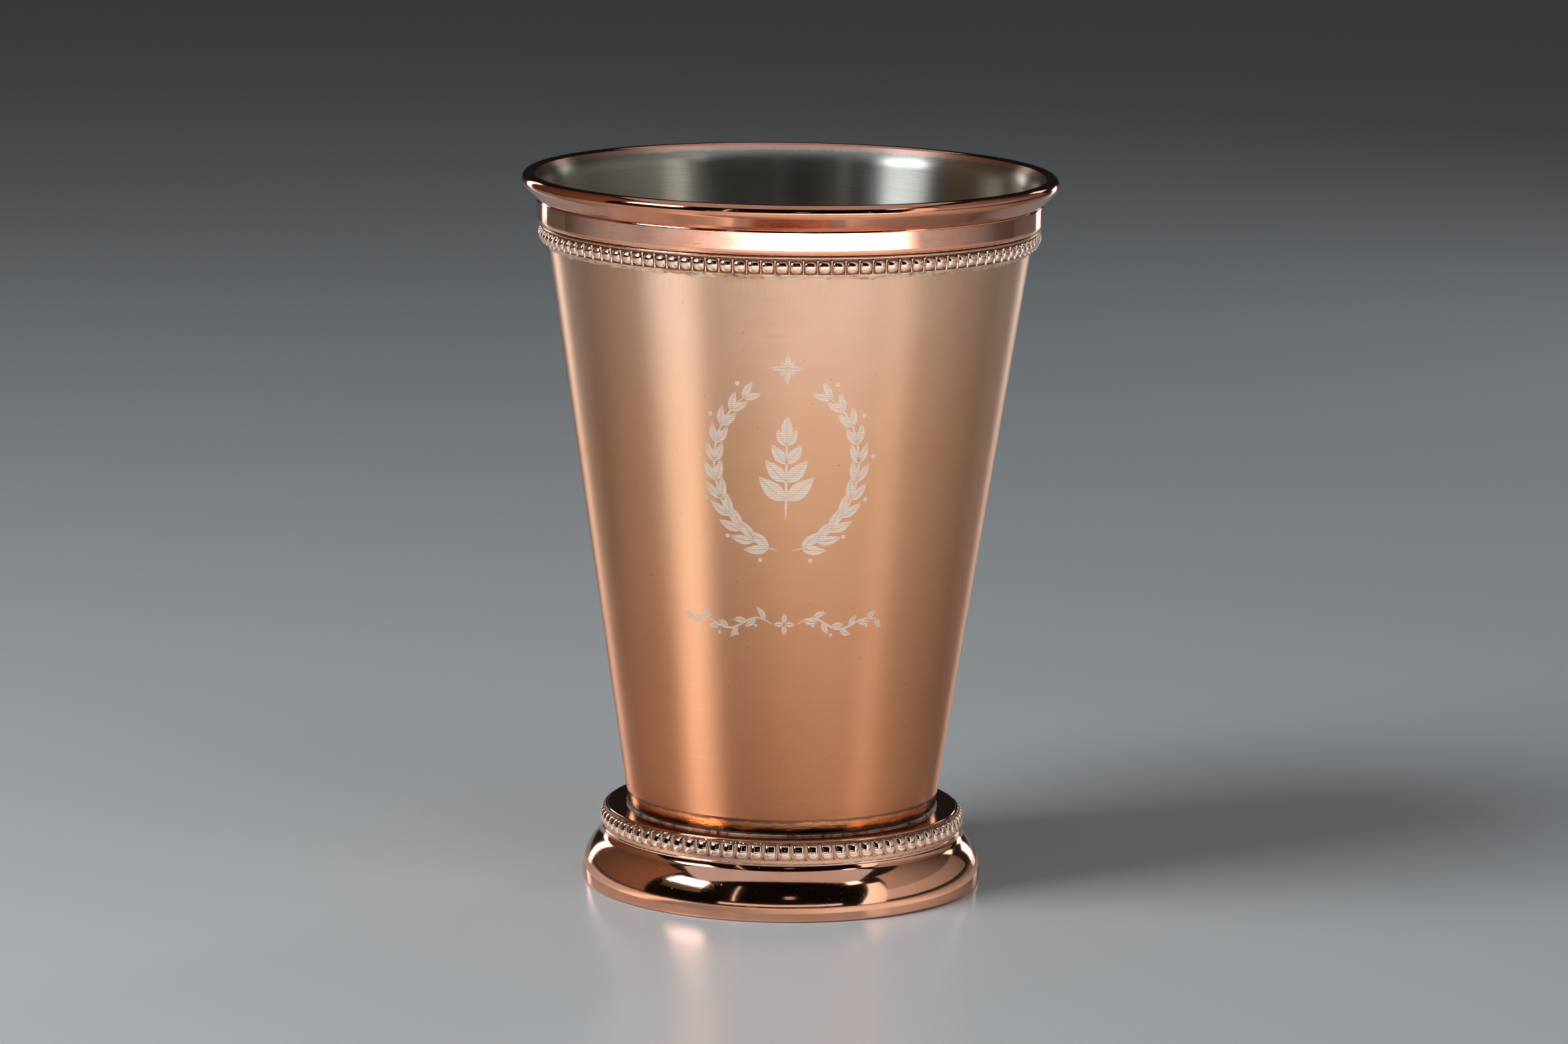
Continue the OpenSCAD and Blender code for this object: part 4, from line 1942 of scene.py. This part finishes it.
@dataclass
class Studio:
    """The table, the lamps and the cards."""

    table_half: float = 4500.0
    world: Colour = (0.05, 0.05, 0.053)

    def glows(self) -> list[Card]:
        """Lists the cards over the table, from the foot outwards.

        Returns:
            The cards.
        """
        foot = by_azimuth(
            (-120, 0.3), (-84, 0.5), (-70, 0.6), (-64, 0.8), (-58, 1.3), (-50, 1.1), (-44, 0.3),
            (-28, 0.3), (-12, 0.4), (4, 0.63), (20, 0.82), (40, 0.84), (54, 0.82), (70, 0.5),
            (90, 0.36), (120, 0.2))
        close = by_azimuth(
            (-120, 0.5), (-84, 0.58), (-70, 0.6), (-64, 0.75), (-58, 1.4), (-50, 1.2), (-43, 0.42),
            (-28, 0.42), (-12, 0.62), (4, 0.74), (40, 0.66), (54, 0.7), (68, 0.42), (90, 0.34),
            (120, 0.2))
        near = by_azimuth(
            (-120, 0.22), (-84, 0.48), (-66, 0.6), (-57, 0.65), (-48, 0.9), (-42, 0.9), (-36, 0.75),
            (-18, 1.0), (35, 1.0), (45, 0.9), (56, 0.8), (66, 0.6), (90, 0.4), (120, 0.22))
        far = by_azimuth(
            (-120, 0.07), (-104, 0.2), (-88, 0.38), (-66, 0.43), (-47, 0.85), (-29, 1.5), (-20, 2.6),
            (-10, 5.0), (2, 8.0), (31, 8.0), (43, 6.0), (51, 3.0), (58, 0.62), (81, 0.38), (105, 0.1),
            (120, 0.08))
        return [
            TableGlow("table_foot", TABLE_SIDES, TABLE_SIDES, (36, 60), foot, 0.5, steps=60),
            TableGlow("table_close", TABLE_SIDES, TABLE_SIDES, (60, 122), close, 0.5, steps=60),
            TableGlow("table_near", TABLE_SIDES, TABLE_SIDES, (120, 620), near, 1, steps=60),
            TableGlow("table_far", TABLE_SIDES, TABLE_SIDES, (600, 1000), far, 2, 0.2, COOL_TONE, steps=60),
        ]

    def cards(self) -> list[Card]:
        """Lists the cards, the dark ones among them, as the polished foot shows them.

        Returns:
            The cards.
        """
        return [
            Card("room", (0, 360), (0, 360), (1, 66), even(0.012), 2400),
            Card("flag", (-84, 46), (-84, 64), (-1, 67), even(0.003), 1500),
            Card("front_strip", (-35, 35), (-35, 35), (1.6, 6), even(1.0), 1400, 0.2),
            Card("softbox", (-76, -50), (-75, -51), (29, 41), even(14), 760, tone=WHITE_TONE),
            Card("softbox_spill", (-76, -48), (-77, -49), (17, 28), graded(0.05, 0.12), 800),
            Card("stand_edge", (-27.4, -26.4), (-28.4, -27.4), (8, 42), even(1.6)),
            Card("small_card", (3, 8), (3, 8), (17, 23), graded(0.6, 0.5)),
            Card("small_lamp", (49, 59), (49, 59), (41, 47), even(3)),
            Card("wall_right", (46, 62), (60, 70), (-1, 38), graded(1.45, 0.95), 1300),
            Card("wall_far_right", (62, 138), (66, 138), (2, 20), graded(0.6, 0.14), 1300),
            Card("wall_far_top", (66, 138), (78, 138), (20, 48), graded(0.4, 0.03), 1300),
            Card("wall_left", (-142, -84), (-142, -84), (0, 50), graded(0.08, 0.22), 1300, tone=WARM_TONE),
            Card("strip_left", (-149, -142), (-149, -142), (-4, 24), even(3.2), 800),
            Card("strip_right", (147, 156), (147, 156), (-10, 8), even(2.2), 800),
            Card("lamp_right", (138, 147), (138, 147), (18, 28), even(2.2)),
            Ceiling("ceiling", (-900, 800), (-350, 350), (-560, 900), even(0.5), 940, tone=COOL_TONE),
            *self.glows(),
        ]

    def lamps(self) -> list[Lamp]:
        """Lists the lamps.

        Returns:
            The lamps.
        """
        return [
            Lamp("key", -62, 44, 760, (340, 410), 11.3),
            Lamp("front_fill", 45, 42, 800, (500, 500), 1.4),
            Lamp("rim_light", 142, 23, 900, (120, 120), 20),
            Lamp("strip_light", -145, 12, 800, (60, 300), 1.5),
            Lamp("top_light", 20, 78, 900, (220, 220), 2),
        ]

    def glow(self) -> bpy.types.Material:
        """Makes the material that shines on one side with the light kept in the cards' points.

        Returns:
            The material.
        """
        bench = Bench("card_glow")
        light = bench.node("ShaderNodeAttribute", {"attribute_name": "light"})["Color"]
        back = bench.node("ShaderNodeNewGeometry")["Backfacing"]
        shine = bench.node("ShaderNodeEmission", None, {"Color": light})["Emission"]
        through = bench.node("ShaderNodeBsdfTransparent")["BSDF"]
        sides = {0: back, 1: through, 2: shine}
        return bench.close(bench.node("ShaderNodeMixShader", None, sides)["Shader"])

    def table(self) -> bpy.types.Object:
        """Makes the table.

        Returns:
            The table's object.
        """
        half = self.table_half * MM
        mesh = bpy.data.meshes.new("table")
        corners = [(-half, -half, 0), (half, -half, 0), (half, half, 0), (-half, half, 0)]
        mesh.from_pydata(corners, [], [(0, 1, 2, 3)])
        mesh.materials.append(TableTop().material())
        table = bpy.data.objects.new("table", mesh)
        bpy.context.scene.collection.objects.link(table)
        return table

    def build(self) -> None:
        """Sets up the table, the cards, the lamps and the world."""
        self.table()
        glow = self.glow()
        for card in self.cards():
            card.hang(glow)
        for lamp in self.lamps():
            lamp.hang()
        world = bpy.data.worlds.new("studio")
        world.use_nodes = True
        world.node_tree.nodes["Background"].inputs["Color"].default_value = (*self.world, 1.0)
        bpy.context.scene.world = world


@dataclass(frozen=True)
class PhotoCamera:
    """The camera at the photograph's viewing angle, with its turns in radians."""

    place: Point = (0.0, -962.46, 229.12)
    lens: float = 142.38
    sensor: float = 36.0
    pan: float = -0.00027
    tilt: float = 0.17678
    roll: float = 0.01414

    def build(self) -> bpy.types.Object:
        """Makes the camera and sets it.

        Returns:
            The camera's object.
        """
        level = Vector((math.cos(self.pan), -math.sin(self.pan), 0))
        ahead = Vector((math.sin(self.pan) * math.cos(self.tilt), math.cos(self.pan) * math.cos(self.tilt),
                        -math.sin(self.tilt)))
        over = level.cross(ahead)
        right = level * math.cos(self.roll) + over * math.sin(self.roll)
        up = over * math.cos(self.roll) - level * math.sin(self.roll)
        turn = Matrix((right, up, -ahead)).transposed().to_4x4()
        data = bpy.data.cameras.new("photo_camera")
        data.lens = self.lens
        data.sensor_width = self.sensor
        data.sensor_fit = "HORIZONTAL"
        data.clip_end = 50
        camera = bpy.data.objects.new("photo_camera", data)
        camera.matrix_world = Matrix.Translation(Vector(self.place) * MM) @ turn
        bpy.context.scene.collection.objects.link(camera)
        bpy.context.scene.camera = camera
        return camera


def main() -> None:
    """Builds the camera, the studio and the cup in order."""
    logging.basicConfig(level=logging.INFO, format="%(name)s: %(message)s")
    bpy.context.scene.view_settings.view_transform = "Standard"
    PhotoCamera().build()
    Studio().build()
    tumbler_low, tumbler_high = node_box("tumbler_body")
    collar_low, collar_high = node_box("rim_collar")
    wire_low, wire_high = node_box("rim_bead_wire")
    seam_low, seam_high = node_box("rim_solder_seam")
    _, foot_high = node_box("foot_shell")
    strip_low, strip_high = node_box("foot_pearl_strip")
    braze_low, _ = node_box("foot_braze_fillet")
    wall = Wall(tumbler_high.z, tumbler_high.x, foot_high.z)
    copper = PolishedCopper().material()
    Tumbler(wall, tumbler_low.z, seam_high.z).build()
    Collar(wall, collar_low.z, collar_high.x).build(copper)
    BeadedWire(wall, wire_low.z, wire_high.z).build()
    SolderSeam(wall, seam_low.z, seam_high.z).build()
    foot = Foot(wall, foot_high.x)
    foot.build(copper)
    PearlStrip(strip_low.z, strip_high.z, foot.plate_r).build()
    BrazeRing(wall, braze_low.z).build()
    Ornament(wall).build()


if __name__ == "__main__":
    main()
